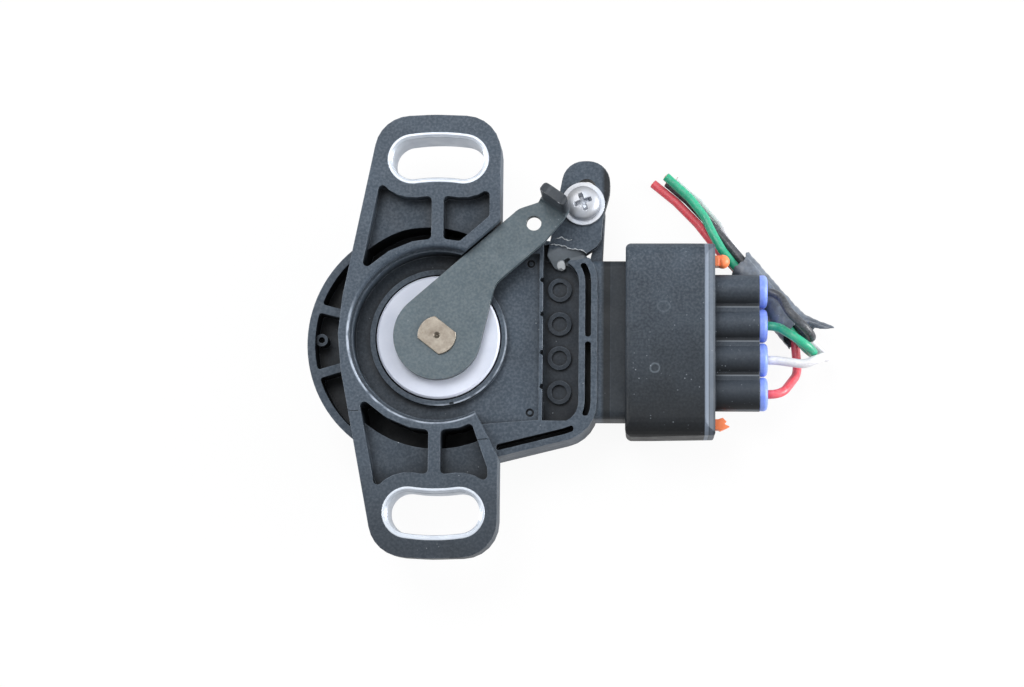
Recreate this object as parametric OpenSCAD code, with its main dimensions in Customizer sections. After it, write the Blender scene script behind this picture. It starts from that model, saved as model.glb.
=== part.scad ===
// Brake pedal stroke sensor: a sprung lever on a shaft turns brushes over a
// resistor board inside a moulded housing, with its four-way plug still mated.
// Millimetres. The origin is on the shaft's axis in the mounting face, +Z points
// out of that face, the way the lever's tab stands, and +X points to the plug.

/* [Mounting ears] */
// Thickness of the ears and their sleeves
flange_t = 7; // [5:0.1:9]
// Distance from the shaft to the middle of each bolt slot
slot_r = 28.5; // [27.5:0.1:30]
// Clear width of a bolt slot
slot_w = 6.5; // [5:0.1:7]
// Clear length of a bolt slot, end to end
slot_len = 14.6; // [12:0.1:16]
// Wall of the metal sleeve that lines a slot
sleeve_wall = 0.8; // [0.5:0.05:1]
// Plastic that stands round a sleeve
boss_wall = 2.25; // [1.6:0.05:2.4]
// Reach of an ear past its sleeve, along Y
ear_tip = 2.85; // [2:0.05:4]
// Right-hand edge of the ears
ear_right = 10; // [9.8:0.1:11]
// Drop from the mounting face to the floor of an ear's pocket
ear_pocket_drop = 2.8; // [1.5:0.1:4]
// Width of the rib that splits an ear's pocket
ear_rib_w = 1.9; // [1:0.1:3]

/* [Body] */
// Drop from the mounting face to the rear rim
body_depth = 17.5; // [17:0.1:20]
// Radius of the drum
drum_r = 19.6; // [19.4:0.05:21]
// Wall of the drum
drum_wall = 1.25; // [0.8:0.05:1.8]
// Drop to the rim of the drum and of the tray beside it
rim_drop = 5.2; // [4.8:0.1:5.8]
// Drop to the floor that the lever sweeps over
floor_drop = 6; // [5.9:0.1:6.4]
// Inner radius of the guard ring
ring_r = 14; // [13.4:0.1:14.6]
// Wall of the guard ring
ring_wall = 1.35; // [1:0.05:1.8]
// Drop to the top of the collar round the return rotor
collar_drop = 4.6; // [4.4:0.1:5]
// Wall of the collar
collar_wall = 0.85; // [0.6:0.05:1.2]
// Front wall of the brush chamber, measured down from the rotor's recess
web_t = 1.5; // [1:0.1:2]
// Right-hand edge of the tray
tray_x = 25.4; // [25:0.1:26.5]
// Width of the slot between the tray's double walls
moat_w = 0.95; // [0.6:0.05:1.2]
// Thickness of each of the tray's double walls
tray_wall = 1; // [0.8:0.05:1.3]

/* [Lever and shaft] */
// Drop from the mounting face to the lever's front
lever_drop = 2; // [1.6:0.1:2.2]
// Thickness of the lever's sheet
lever_t = 1.6; // [1.2:0.05:1.7]
// Radius of the lever's eye
lever_eye_r = 7; // [6:0.1:7.6]
// Angle of the lever's straight edges at rest, from +X
lever_angle = 41; // [39:0.5:42]
// Width of the lever's arm
arm_w = 6.7; // [6:0.1:7]
// Distance from the shaft to the lever's small hole, along the arm
arm_hole_u = 23.4; // [21:0.1:24]
// Diameter of the lever's small hole
arm_hole_d = 2.4; // [1.6:0.1:3]
// Height of the lever's tab over its front
tab_h = 9; // [5:0.5:11]
// Diameter of the shaft
shaft_d = 6.1; // [5.6:0.05:6.6]
// Distance across the shaft's flats
shaft_flats = 4.4; // [4:0.05:5]
// Radius of the return rotor
rotor_r = 9.9; // [9.4:0.05:10.2]
// Radial clearance between the shaft and its bush
bush_gap = 0.03; // [0.02:0.01:0.05]

/* [Stop screw] */
// Diameter of the stop screw's thread
screw_d = 3; // [2.5:0.1:3.2]
// Diameter of the stop screw's head
screw_head_d = 5.6; // [4.8:0.1:5.8]
// Diameter of its washer
washer_d = 7; // [6:0.1:7.2]
// Thickness of its washer
washer_t = 0.6; // [0.4:0.05:0.8]
// Thickness of the stop arm
stop_arm_t = 2.6; // [2:0.1:3]

/* [Plug] */
// Distance between neighbouring terminals
pitch = 5.55; // [5.2:0.05:5.6]
// Drop from the mounting face to the terminals' plane
terminal_drop = 10.6; // [10.5:0.05:10.9]
// Left-hand edge of the plug's shell
plug_x = 29.9; // [29.7:0.1:31]
// Length of the plug's shell
shell_len = 14.3; // [13:0.1:16]
// Width of the plug's shell
shell_w = 31.4; // [30.5:0.1:33]
// Height of the plug's shell
shell_h = 12.8; // [12.4:0.1:13.2]
// Length of the four seal barrels behind the shell
barrel_len = 7.2; // [6:0.1:9]
// Diameter of each wire
wire_d = 1.45; // [1.2:0.05:1.5]

/* [Hidden] */
$fn = 64;

// Levels along the shaft, all measured from the mounting face
lever_top = -lever_drop;
lever_under = lever_top - lever_t;
rotor_seat = lever_under - 0.5;
rim_z = -rim_drop;
floor_z = -floor_drop;
recess_z = -9.7;
web_z = recess_z - web_t;
board_t = 1;
board_under = web_z - board_t;
cover_t = 1.6;
cover_lift = 0.2;
cover_z = -body_depth + cover_lift;
cover_seat_z = cover_z + cover_t;
pocket_z = -9.3;

// Bolt slots, curved about the shaft so that the sensor can be turned to set it
sleeve_half = slot_w / 2 + sleeve_wall;
boss_half = sleeve_half + boss_wall;
slot_half_angle = asin((slot_len - slot_w) / 2 / slot_r);
sleeve_flare = 0.45;

// Flange outline
ear_top = slot_r + sleeve_half + ear_tip;
waist_x = -16.15;
ear_slope = 0.1945;
ear_corner_r = 5.8;
ear_crown = 0.4;
ear_mid = -0.6;
pocket_round = 0.7;
crescent_round = 0.45;
ear_wall = 2.06;
ring_out = ring_r + ring_wall;
arc_pocket_r = 18;

// Drum and tray
drum_at = [-1.6, -0.8];
tray_pts = [[0, -19.4, 0], [8.4, -19.35, 3], [tray_x, -15.1, 6.2], [tray_x, 14.5, 6.4],
            [17.6, 16, 1], [9, 17.3, 0], [0, 17.6, 0]];
panel_x = 16.1;
lip_w = 0.55;
lip_h = 0.35;
lip_y = [13.1, 13.4];
nick_r = 0.45;
nick_y = [9.5, 4, -2.2, -7.7];
mark_x = 19.25;
mark_r = 1.92;
mark_bore = 1.23;
mark_h = 0.6;
ejector_r = 0.68;
ejector_at = [[14.7, 12.2], [14.7, -11.9]];
crescent_pin = [-19.1, -0.2];
crescent_rib_w = 1.4;
ledge_w = 0.5;
ledge_z = -1.8;
seat_gap = 0.1;
shell_wall = 2;

// Rotor, bush and shaft
recess_r = rotor_r + 0.25;
collar_r = recess_r + collar_wall;
boss_r = 5.6;
board_r = 13.2;
board_x = 14.8;
board_w = 21.2;
stake_at = [-9, 9];
stake_r = 0.9;
stake_gap = 0.05;
leg_x = 12.2;
boss_top = rotor_seat - 2.8;
boss_under = board_under - 0.4;
shaft_r = shaft_d / 2;
bush_r = 4.3;
bush_top = boss_top - 1.4;
shaft_top = lever_top + 0.4;
flats_z = rotor_seat - 2.5;
hub_gap = 0.02;
groove_r = 2.4;
clip_t = 0.6;
clip_r = 4.5;
clip_gap = 3.4;
foot_w = [5.6, 4.2];
clip_top = boss_under - 0.15;
holder_top = clip_top - clip_t - 0.15;
holder_t = 1.8;
holder_z = holder_top - holder_t;
holder_r = 5;
holder_w = [8, 6.4];
holder_reach = 12.2;
brush_angle = 205;
brush_tracks = [7.6, 10.4];
brush_len = 5.6;
brush_t = 0.2;
finger_w = 0.6;
finger_gap = 0.15;
coil_r = 7.2;
coil_wire_r = 0.42;
coil_turns = 3.25;
coil_pitch = 0.95;

// Lever: u runs along the arm and v across it, to the left
arm_left = lever_eye_r;
arm_right = lever_eye_r - arm_w;
arm_hole_v = (arm_left + arm_right) / 2;
kink_u = 12.4;
arm_end_u = 22.5;
tab_left = [26.1, 5.75];
tab_right = [27.25, 1.02];
tab_bend_r = 0.8;
stop_gap = 0.3;
lever_travel = 104;

// Stop arm, its screw and its slot
arm_front = lever_under - 3;
arm_back = arm_front - stop_arm_t;
screw_at = [23, 22.05];
slot_dir = 79;
slot_ends = [-1, 2.6];
screw_slot_w = screw_d + 0.2;
head_h = 1.9;
nut_af = 5.5;
nut_t = 2.4;

// Plug and the shroud that it closes over
terminal_z = -terminal_drop;
terminal_t = 0.64;
terminal_w = 1.5;
rows = [for (i = [-1.5:1:1.5]) i * pitch];
shroud_w = 25.6;
shroud_h = 9.6;
shroud_wall = 1.3;
shroud_round = 1.4;
shroud_end = plug_x + 11.1;
shell_end = plug_x + shell_len;
shell_back = 1.6;
core_start = plug_x + 1.6;
core_w = shroud_w - 2 * shroud_wall - 0.6;
core_h = shroud_h - 2 * shroud_wall - 0.6;
barrel_end = shell_end + barrel_len;
bore_r = 1.7;
seal_r = 2.2;
seal_end = barrel_end + 1.3;
shell_round = 3;
contact_start = core_start + 1.4;
gasket_x = plug_x + 6;
gasket_t = 2.4;

// Points on a plan, straight or turned by the lever's angle
function unit(v) = v / norm(v);
function half_turn(a) = (a + 900) % 360 - 180;
function on_arm(u, v, a = lever_angle) = [u * cos(a) - v * sin(a), u * sin(a) + v * cos(a)];
function ear_left(y) = waist_x + ear_slope * abs(y);

// Corner b of a path a-b-c, cut to radius r as a run of points on its arc
function fillet(a, b, c, r) =
    r <= 0 ? [b] :
    let (u = unit(a - b), v = unit(c - b), half = acos(u * v) / 2,
         mid = b + unit(u + v) * (r / sin(half)),
         p = b + u * (r / tan(half)), q = b + v * (r / tan(half)),
         start = atan2(p.y - mid.y, p.x - mid.x),
         sweep = half_turn(atan2(q.y - mid.y, q.x - mid.x) - start),
         n = max(2, ceil(abs(sweep) / 15)))
    [for (i = [0:n]) mid + r * [cos(start + sweep * i / n), sin(start + sweep * i / n)]];

// Outline whose points are [x, y, corner radius]
function rounded(pts) =
    let (n = len(pts))
    [for (i = [0:n - 1])
        let (a = pts[(i + n - 1) % n], b = pts[i], c = pts[(i + 1) % n])
        each fillet([a.x, a.y], [b.x, b.y], [c.x, c.y], b.z)];

function rect_pts(w, h, r) =
    [[-w / 2, -h / 2, r], [w / 2, -h / 2, r], [w / 2, h / 2, r], [-w / 2, h / 2, r]];

// Round tube along a path, its section carried on without twist
function tangent(path, i) = unit(path[min(i + 1, len(path) - 1)] - path[max(i - 1, 0)]);
function square_to(v, t) = unit(v - (v * t) * t);
function tube_points(path, r, sides) =
    let (n = len(path))
    [for (i = 0, u = square_to([0.1, 0.2, 1], tangent(path, 0)); i < n;
          i = i + 1, u = i < n ? square_to(u, tangent(path, i)) : u)
        let (w = cross(tangent(path, i), u))
        each [for (j = [0:sides - 1]) path[i] + r * (cos(360 * j / sides) * u + sin(360 * j / sides) * w)]];
function tube_faces(n, sides) = concat(
    [[for (j = [0:sides - 1]) j]],
    [for (i = [0:n - 2], j = [0:sides - 1])
        let (a = i * sides + j, b = i * sides + (j + 1) % sides)
        each [[a, a + sides, b + sides], [a, b + sides, b]]],
    [[for (j = [sides - 1:-1:0]) (n - 1) * sides + j]]);

module tube(path, r, sides = 8)
    polyhedron(tube_points(path, r, sides), tube_faces(len(path), sides));

// Extrusions between two levels or two stations
module slab(z0, z1) translate([0, 0, z0]) linear_extrude(z1 - z0) children();
module beam(x0, x1, z = terminal_z)
    translate([x0, 0, z]) rotate([90, 0, 90]) linear_extrude(x1 - x0) children();
module across(w) rotate([90, 0, 0]) translate([0, 0, -w / 2]) linear_extrude(w) children();
module rod_x(x0, x1, r, y = 0)
    translate([x0, y, terminal_z]) rotate([0, 90, 0]) cylinder(h = x1 - x0, r = r);
module box(w, h, r = 0) polygon(rounded(rect_pts(w, h, r)));

// Band of constant width that follows the slot's arc, with round ends
module kidney(half_w, r = slot_r) {
    reach = 2 * r;
    intersection() {
        difference() {
            circle(r = r + half_w, $fn = 128);
            circle(r = r - half_w, $fn = 128);
        }
        polygon([[0, 0], reach * [sin(slot_half_angle), cos(slot_half_angle)],
                 reach * [-sin(slot_half_angle), cos(slot_half_angle)]]);
    }
    for (s = [-1, 1])
        rotate(s * slot_half_angle) translate([0, r]) circle(r = half_w);
}

// Plan with its outward corners rounded
module eased(r) offset(r = r, $fn = 24) offset(delta = -r) children();

// Plan of the flange: a waist, two ears and the gap that the lever sweeps
module flange_plan() {
    stop_v = arm_left + stop_gap;
    upper_y = (ear_right * sin(lever_angle) + stop_v) / cos(lever_angle);
    low_angle = lever_angle - lever_travel;
    low_v = arm_right - stop_gap;
    lower_y = (ear_right * sin(low_angle) + low_v) / cos(low_angle);
    upper_in = on_arm(ring_r - 3, stop_v);
    lower_in = on_arm(ring_r - 1, low_v, low_angle);
    polygon(rounded([
        [waist_x, 0, 30],
        [ear_left(ear_top), ear_top - ear_crown, ear_corner_r],
        [ear_mid, ear_top, 30],
        [ear_right, ear_top - ear_crown, ear_corner_r],
        [ear_right, upper_y, 0.6],
        [upper_in.x, upper_in.y, 0],
        [lower_in.x, lower_in.y, 0],
        [ear_right, lower_y, 0.6],
        [ear_right, ear_crown - ear_top, ear_corner_r],
        [ear_mid, -ear_top, 30],
        [ear_left(ear_top), ear_crown - ear_top, ear_corner_r]]));
}

// Weight-saving pocket of the upper ear, open to the front
module upper_pocket_plan() {
    inner_v = arm_left + stop_gap + 1.55;
    right_x = ear_right - 1.7;
    diag_y = (right_x * sin(lever_angle) + inner_v) / cos(lever_angle);
    diag_in = on_arm(10, inner_v);
    eased(pocket_round) difference() {
        polygon(rounded([
            [ear_left(10.2) + ear_wall, 10.2, 0.4],
            [ear_left(24.2) + ear_wall, 24.2, 0.5],
            [right_x, 24.2, 0.9],
            [right_x, diag_y, 0.8],
            [diag_in.x, diag_in.y, 0]]));
        circle(r = ring_out);
        kidney(boss_half);
        square([ear_rib_w, 60], center = true);
    }
}

module lower_pocket_plan() {
    eased(pocket_round) difference() {
        polygon(rounded([
            [ear_left(10.2) + ear_wall, -10.2, 0.4],
            [ear_left(24.6) + ear_wall, -24.6, 0.5],
            [ear_right - 1.5, -23.6, 0.5],
            [ear_right - 1.6, -21.2, 0.8],
            [5.6, -13.4, 0]]));
        circle(r = ring_out);
        mirror([0, 1]) kidney(boss_half);
        square([ear_rib_w, 60], center = true);
    }
}

module tray_plan() polygon(rounded(tray_pts));

module body_plan() {
    translate(drum_at) circle(r = drum_r, $fn = 128);
    tray_plan();
}

// Crescent at the left where the drum stands out past the flange
module crescent_plan() {
    eased(crescent_round) difference() {
        translate(drum_at) circle(r = drum_r - drum_wall, $fn = 128);
        offset(delta = 0.01) flange_plan();
        translate([0, -2 * drum_r]) square(4 * drum_r);
        for (a = [166, 197])
            rotate(a) translate([0, -crescent_rib_w / 2]) square([30, crescent_rib_w]);
    }
}

// Moat between the tray's double walls, broken by bridges
module moat_plan() {
    eased(0.42 * moat_w) intersection() {
        difference() {
            offset(delta = -tray_wall) tray_plan();
            offset(delta = -tray_wall - moat_w) tray_plan();
        }
        union() {
            translate([22.2, 0.3]) square([4, 11.9]);
            translate([22.5, -12.4]) square([4, 11.9]);
            translate([9.4, -20]) square([12.3, 8]);
        }
    }
}

module panel_plan() {
    circle(r = ring_r);
    polygon([[0, -13.9], [6, -13.9], [panel_x, -13.1], [panel_x, 13.7], [0, 14.4]]);
}

// Well in the tray that holds the four moulding marks over the terminals
module well_plan() {
    intersection() {
        offset(delta = -2 * tray_wall - moat_w) tray_plan();
        translate([panel_x + lip_w, -13.2]) square([10, 30]);
    }
}

// Ragged edge that the stop arm's foot broke along
break_line = [[23.5, 13.95], [23.1, 14.45], [21.8, 14.7], [20.8, 14.75], [20.15, 15.15],
              [18.85, 15.4], [17.6, 15.5]];
shelf_z = -7.7;

// Plan of the arm that the stop screw is clamped to; its foot is broken
module stop_arm_plan() {
    polygon(rounded([
        [20.15, 29.15, 3.55], [27.4, 29.15, 3.55], [27.3, 24, 6], [26.2, 20, 4], [25.9, 16.4, 0.5],
        [25.2, 15.1, 0.5], each [for (p = break_line) [p.x, p.y, 0]]]));
}

module stop_slot_plan(w) {
    hull()
        for (e = slot_ends)
            translate([screw_at.x + e * cos(slot_dir), screw_at.y + e * sin(slot_dir)])
                circle(r = w / 2, $fn = 32);
}

// Corner of the tray's rim that broke away with the stop arm's foot, down to a shelf and the well
module broken_corner() {
    slab(arm_front, 1)
        polygon([[16.9, 20], [16.9, 14.1], [17.9, 13.4], [24.1, 13.1], [24.6, 13.9], [25, 15],
                 [25.1, 20]]);
    slab(shelf_z, 1)
        polygon(concat(break_line,
                       [[17.2, 13], [21, 12.65], [22.2, 12.7], [23, 12.95], [24.3, 13.1], [24.4, 13.9]]));
    slab(pocket_z + 0.3, 1)
        polygon([[16.7, 12.4], [16.7, 15.3], each [for (i = [6:-1:3]) break_line[i]],
                 [20.9, 12.65], [20.6, 12.3], [20.2, 12], [19, 12.2]]);
}

// Jagged tongue under the break, sloping down over the tray's well, with a chip that stands up
// from its tip
module broken_root() {
    root_slope(0)
        polygon(concat(break_line, [
            [17.2, 13.8], [17.75, 12.85], [18.35, 11.85], [18.85, 11.6], [19.5, 11.45], [20.1, 11.7],
            [20.05, 12.45], [19.85, 13.05], [20.5, 13.4], [21.5, 13.15], [22.2, 13.6], [22.9, 14]]));
    root_slope(0.4)
        polygon([[19.15, 13], [19.6, 13.05], [20.05, 12.6], [20.15, 11.8], [19.85, 11.5],
                 [19.5, 11.8], [19.05, 11.6], [18.85, 12.1]]);
}

// Part of a plan that lies under the break's slope, raised by lift
module root_slope(lift) {
    intersection() {
        slab(pocket_z - 0.5, arm_front - 0.05) children();
        translate([20, 15.5, arm_front - 0.05 + lift]) rotate([26, 4, 0])
            translate([-10, -15, -10]) cube([20, 20, 10]);
    }
}

module bolt_sleeve() {
    slab(-flange_t, 0)
        difference() {
            kidney(sleeve_half);
            kidney(slot_w / 2);
        }
}

// Ring that guards the lever's eye, rounded on its inner edge
module ring_round() {
    rotate_extrude()
        difference() {
            translate([ring_r - 0.01, -0.6]) square([0.61, 1]);
            translate([ring_r + 0.6, -0.6]) circle(r = 0.6, $fn = 32);
        }
}

// Ledge that steps in under the ring's rounded edge
module ring_ledge() {
    slab(floor_z - 0.01, ledge_z)
        intersection() {
            difference() {
                circle(r = ring_r + 0.01, $fn = 128);
                circle(r = ring_r - ledge_w, $fn = 128);
            }
            flange_plan();
        }
}

module terminal_plan() {
    top = terminal_z + terminal_t / 2;
    low = terminal_z - terminal_t / 2;
    polygon([[leg_x, board_under - 0.5], [leg_x + terminal_t, board_under - 0.5], [leg_x + terminal_t, low],
             [shroud_end - 2.6, low], [shroud_end - 2.2, low + 0.2], [shroud_end - 2.2, top - 0.2],
             [shroud_end - 2.6, top], [leg_x, top]]);
}

module terminals() {
    for (y = rows)
        translate([0, y, 0]) across(terminal_w) terminal_plan();
}

module housing_mass() {
    slab(-body_depth, rim_z) body_plan();
    slab(-flange_t, 0) flange_plan();
    beam(tray_x - 2, shroud_end) box(shroud_w, shroud_h, shroud_round);
    slab(arm_back, arm_front) stop_arm_plan();
    // Wall behind the stop arm that still joins it to the shroud
    slab(terminal_z - 2, arm_front - 1.4)
        polygon([[tray_x - 1.5, 12.2], [tray_x + 0.65, 12.2], [tray_x + 1.1, 21.2], [tray_x, 21.2],
                 [tray_x - 0.6, 16]]);
}

module front_cuts() {
    // Sweep of the lever over the floor beside the shaft
    slab(floor_z, 1) circle(r = ring_r);
    slab(floor_z, 1)
        difference() {
            panel_plan();
            translate([-61, -40]) square([60, 80]);
            flange_plan();
        }
    ring_round();
    for (s = [1, -1])
        slab(-flange_t - 1, 1) mirror([0, s < 0 ? 1 : 0]) kidney(sleeve_half);
    slab(-ear_pocket_drop, 1) upper_pocket_plan();
    slab(-ear_pocket_drop, 1) lower_pocket_plan();
    slab(recess_z, 1)
        intersection() {
            union() { upper_pocket_plan(); lower_pocket_plan(); }
            circle(r = arc_pocket_r);
            translate(drum_at) circle(r = drum_r - drum_wall);
        }
    slab(recess_z, 1) crescent_plan();
    slab(pocket_z, 1) well_plan();
    slab(pocket_z, 1) moat_plan();
    broken_corner();
}

module rear_cuts() {
    slab(-body_depth - 1, cover_seat_z) offset(delta = -1) body_plan();
    slab(-body_depth, web_z) offset(delta = -shell_wall) body_plan();
}

// Small marks left by the mould
module mould_marks() {
    for (y = rows)
        translate([mark_x, y, pocket_z - 0.01])
            difference() {
                cylinder(h = mark_h, r = mark_r);
                translate([0, 0, -1]) cylinder(h = mark_h + 2, r = mark_bore);
            }
    translate([crescent_pin.x, crescent_pin.y, recess_z - 0.01])
        difference() {
            cylinder(h = 3, r = 1);
            translate([0, 0, 1]) cylinder(h = 4, r = 0.5);
        }
}

module housing() color("#3b3f44") {
    difference() {
        union() {
            difference() {
                housing_mass();
                front_cuts();
                rear_cuts();
            }
            // Collar, bearing boss and stakes stand in the hollows
            slab(web_z, -collar_drop) circle(r = collar_r);
            slab(boss_under, web_z + 0.01) circle(r = boss_r);
            mould_marks();
            broken_root();
            ring_ledge();
            slab(floor_z - 0.5, floor_z + lip_h)
                translate([panel_x, -lip_y[0]]) square([lip_w, lip_y[0] + lip_y[1]]);
            for (s = [-1, 1])
                translate([stake_at.x, s * stake_at.y, board_under - 0.5])
                    cylinder(h = web_z - board_under + 0.51, r = stake_r);
        }
        // Recess of the return rotor, round the bearing boss
        slab(recess_z, 1)
            difference() {
                circle(r = recess_r);
                circle(r = boss_r);
            }
        slab(boss_top, 1) circle(r = boss_r + 0.1);
        slab(bush_top, 1) circle(r = bush_r);
        slab(boss_under - 1, 1) circle(r = bush_r);
        // Hole that holds the spring's fixed leg
        translate([coil_r, -0.35, recess_z - 1]) cylinder(h = 2, r = coil_wire_r + 0.08);
        // Socket of the shroud
        beam(shroud_end - 13.6, shroud_end + 1)
            box(shroud_w - 2 * shroud_wall, shroud_h - 2 * shroud_wall, 0.8);
        slab(arm_back - 1, 1) stop_slot_plan(screw_slot_w);
        translate([screw_at.x, screw_at.y, arm_back - nut_t - 4])
            cylinder(h = nut_t + 4, d = nut_af + 1.3);
        // Nicks through the panel's lip into the well
        for (y = nick_y)
            translate([panel_x + lip_w, y, pocket_z]) cylinder(h = 10, r = nick_r);
        // Ejector marks in the floor's outer corners
        for (at = ejector_at)
            translate([at.x, at.y, floor_z - 0.5])
                difference() {
                    cylinder(h = 1, r = ejector_r);
                    cylinder(h = 0.4, r = ejector_r / 2);
                }
        rotate(282) translate([collar_r, 0, -collar_drop]) cube([0.7, 0.7, 0.6], center = true);
        hairlines();
        terminals();
    }
}

// Hairline cracks: level, then points on plan, at the flange's left edge, the lower ear's foot
// and the stop arm's foot
cracks = [[0, [[-14.2, -12], [-13.1, -12.3], [-12.1, -12.2]]],
          [0, [[4.8, -16.3], [6.2, -16.8], [8.4, -16.6]]],
          [arm_front, [[18.45, 16.33], [19.49, 16.67], [20.39, 16.12], [21.29, 16.21]]]];
crack_w = 0.12;

module hairlines() {
    for (crack = cracks, i = [0:len(crack[1]) - 2])
        let (a = crack[1][i], b = crack[1][i + 1], d = b - a)
            translate([a.x, a.y, crack[0] - crack_w]) rotate(atan2(d.y, d.x)) translate([0, -crack_w / 2])
                cube([norm(d), crack_w, 2 * crack_w]);
}

module upper_sleeve() color("#c9ccd0") difference() { bolt_sleeve(); sleeve_flares(); }
module lower_sleeve() color("#c9ccd0") mirror([0, 1, 0]) difference() { bolt_sleeve(); sleeve_flares(); }

// Bright flare at the mouth of a sleeve
module sleeve_flares() {
    step = sleeve_flare / 3;
    for (i = [0:2])
        slab(-sleeve_flare + i * step, 0.1) kidney(slot_w / 2 + (i + 0.5) * step);
}

module rear_cover() color("#33373b") {
    slab(cover_z, cover_seat_z) offset(delta = -1 - seat_gap) body_plan();
}

module resistor_board() color("#2f6b4a") {
    difference() {
        slab(board_under, web_z)
            union() {
                circle(r = board_r);
                translate([0, -board_w / 2]) square([board_x, board_w]);
            }
        translate([0, 0, board_under - 1]) cylinder(h = 4, r = boss_r + 0.5);
        for (s = [-1, 1])
            translate([stake_at.x, s * stake_at.y, board_under - 1])
                cylinder(h = 3, r = stake_r + stake_gap);
        for (y = rows)
            translate([leg_x - stake_gap, y - terminal_w / 2 - stake_gap, board_under - 1])
                cube([terminal_t + 2 * stake_gap, terminal_w + 2 * stake_gap, board_t + 2]);
    }
}

module header_terminals() color("#c8b878") terminals();

module shaft_bush() color("#b08a4a") {
    difference() {
        slab(boss_under, bush_top) circle(r = bush_r);
        slab(boss_under - 1, bush_top + 1) circle(r = shaft_r + bush_gap);
    }
}

// Lipped ring that keeps dirt out of the bush
module shaft_seal() color("#26282a") {
    rotate_extrude()
        difference() {
            translate([shaft_r + hub_gap, bush_top])
                square([bush_r - shaft_r - hub_gap, boss_top - bush_top - 0.1]);
            translate([(shaft_r + bush_r) / 2, boss_top]) circle(r = 0.35, $fn = 24);
            translate([shaft_r, (boss_top + bush_top) / 2]) circle(r = 0.25, $fn = 24);
        }
}

// Torsion spring that swings the lever back to its rest
module return_spring() color("#9a9ea3") {
    steps = 20;
    base = recess_z + coil_wire_r + 0.12;
    coil = [for (i = [0:steps * coil_turns])
        [coil_r * cos(360 * i / steps), coil_r * sin(360 * i / steps), base + coil_pitch * i / steps]];
    tube(concat([[coil_r, -0.35, recess_z - 0.9], [coil_r, -0.35, base - 0.25]], coil), coil_wire_r);
}

module stop_washer() color("#d3d6d9") {
    translate([screw_at.x, screw_at.y, arm_front])
        difference() {
            cylinder(h = washer_t, d = washer_d);
            translate([0, 0, -1]) cylinder(h = 3, d = screw_d + 0.2);
        }
}

// Pan-head screw with a cross recess
module stop_screw() color("#dcdfe2") {
    head_r = screw_head_d / 2;
    translate([screw_at.x, screw_at.y, arm_front + washer_t])
        difference() {
            union() {
                rotate_extrude()
                    polygon(rounded([[0, 0, 0], [head_r, 0, 0], [head_r, head_h, 1.1], [0, head_h, 0]]));
                translate([0, 0, -washer_t - stop_arm_t - nut_t - 0.6])
                    cylinder(h = washer_t + stop_arm_t + nut_t + 0.61, d = screw_d);
            }
            for (a = [15, 105])
                rotate(a) translate([-1.35, -0.3, head_h - 1.1]) cube([2.7, 0.6, 2]);
        }
}

module stop_nut() color("#c4c8cc") {
    translate([screw_at.x, screw_at.y, arm_back - nut_t])
        difference() {
            rotate(slot_dir) cylinder(h = nut_t, r = nut_af / 2 / cos(30), $fn = 6);
            translate([0, 0, -1]) cylinder(h = nut_t + 2, d = screw_d);
        }
}

// Shaft section: a round with two flats across the lever
module double_d(r, flats) {
    intersection() {
        circle(r = r);
        rotate(-38) square([2 * r + 1, flats], center = true);
    }
}

module shaft() color("#b9ac94") {
    difference() {
        union() {
            slab(clip_top, flats_z) circle(r = shaft_r);
            slab(flats_z, shaft_top) double_d(shaft_r, shaft_flats);
            slab(holder_top, clip_top) circle(r = groove_r);
            slab(holder_z, holder_top) double_d(foot_w[0] / 2, foot_w[1]);
        }
        // Punch mark that spreads the shaft's end in the lever
        translate([0, 0, shaft_top - 0.5]) cylinder(h = 0.51, r1 = 0.1, r2 = 0.55);
    }
}

module lever_plan() {
    flank = asin(lever_eye_r / norm([kink_u, arm_right]));
    rise = atan2(arm_right, kink_u);
    touch = lever_eye_r * [cos(rise + flank - 90), sin(rise + flank - 90)];
    circle(r = lever_eye_r, $fn = 128);
    polygon(rounded([
        [0, 0, 0],
        [touch.x, touch.y, 0],
        [kink_u, arm_right, 3],
        [arm_end_u, arm_right, 2],
        [tab_right.x, tab_right.y, 0],
        [tab_left.x, tab_left.y, 0],
        [arm_end_u + 0.6, arm_left, 2.5],
        [0, arm_left, 0]]));
}

// Tab at the arm's end, bent up square to the sheet
module tab() {
    along = tab_right - tab_left;
    lean = atan2(along.y, along.x) + 90;
    w = norm(along);
    back = -lever_t - tab_bend_r - 0.5;
    section = rounded([[0, 0, tab_bend_r + lever_t], [0, lever_t + tab_h, 0],
                       [-lever_t, lever_t + tab_h, 0], [-lever_t, lever_t, tab_bend_r],
                       [back, lever_t, 0], [back, 0, 0]]);
    corner = 1.8;
    end_r = 0.45 * lever_t;
    translate([tab_left.x, tab_left.y, 0]) rotate(lean)
        translate([lever_t + tab_bend_r - 0.15, 0, 0])
            intersection() {
                union() {
                    slab(-1, lever_t + tab_bend_r)
                        polygon(rounded([[back, -w, 0], [0, -w, end_r], [0, 0, end_r], [back, 0, 0]]));
                    slab(lever_t + tab_bend_r - 0.01, 2 * tab_h)
                        polygon(rounded([[-lever_t, -w, end_r], [0, -w, end_r], [0, 0, end_r],
                                         [-lever_t, 0, end_r]]));
                }
                rotate([90, 0, 0]) linear_extrude(w) polygon(section);
                rotate([90, 0, 90]) translate([0, 0, -tab_h]) linear_extrude(2 * tab_h)
                    polygon(rounded([[-w, -1, 0], [0, -1, 0], [0, lever_t + tab_h, corner],
                                     [-w, lever_t + tab_h, 0.9]]));
            }
}

module lever() color("#7d868b") {
    difference() {
        rotate(lever_angle) {
            slab(lever_under, lever_top) lever_plan();
            translate([0, 0, lever_under]) tab();
        }
        slab(lever_under - 1, lever_top + 1) double_d(shaft_r, shaft_flats);
        translate([each on_arm(arm_hole_u, arm_hole_v), lever_under - 1])
            cylinder(h = lever_t + 2, d = arm_hole_d);
    }
}

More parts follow.
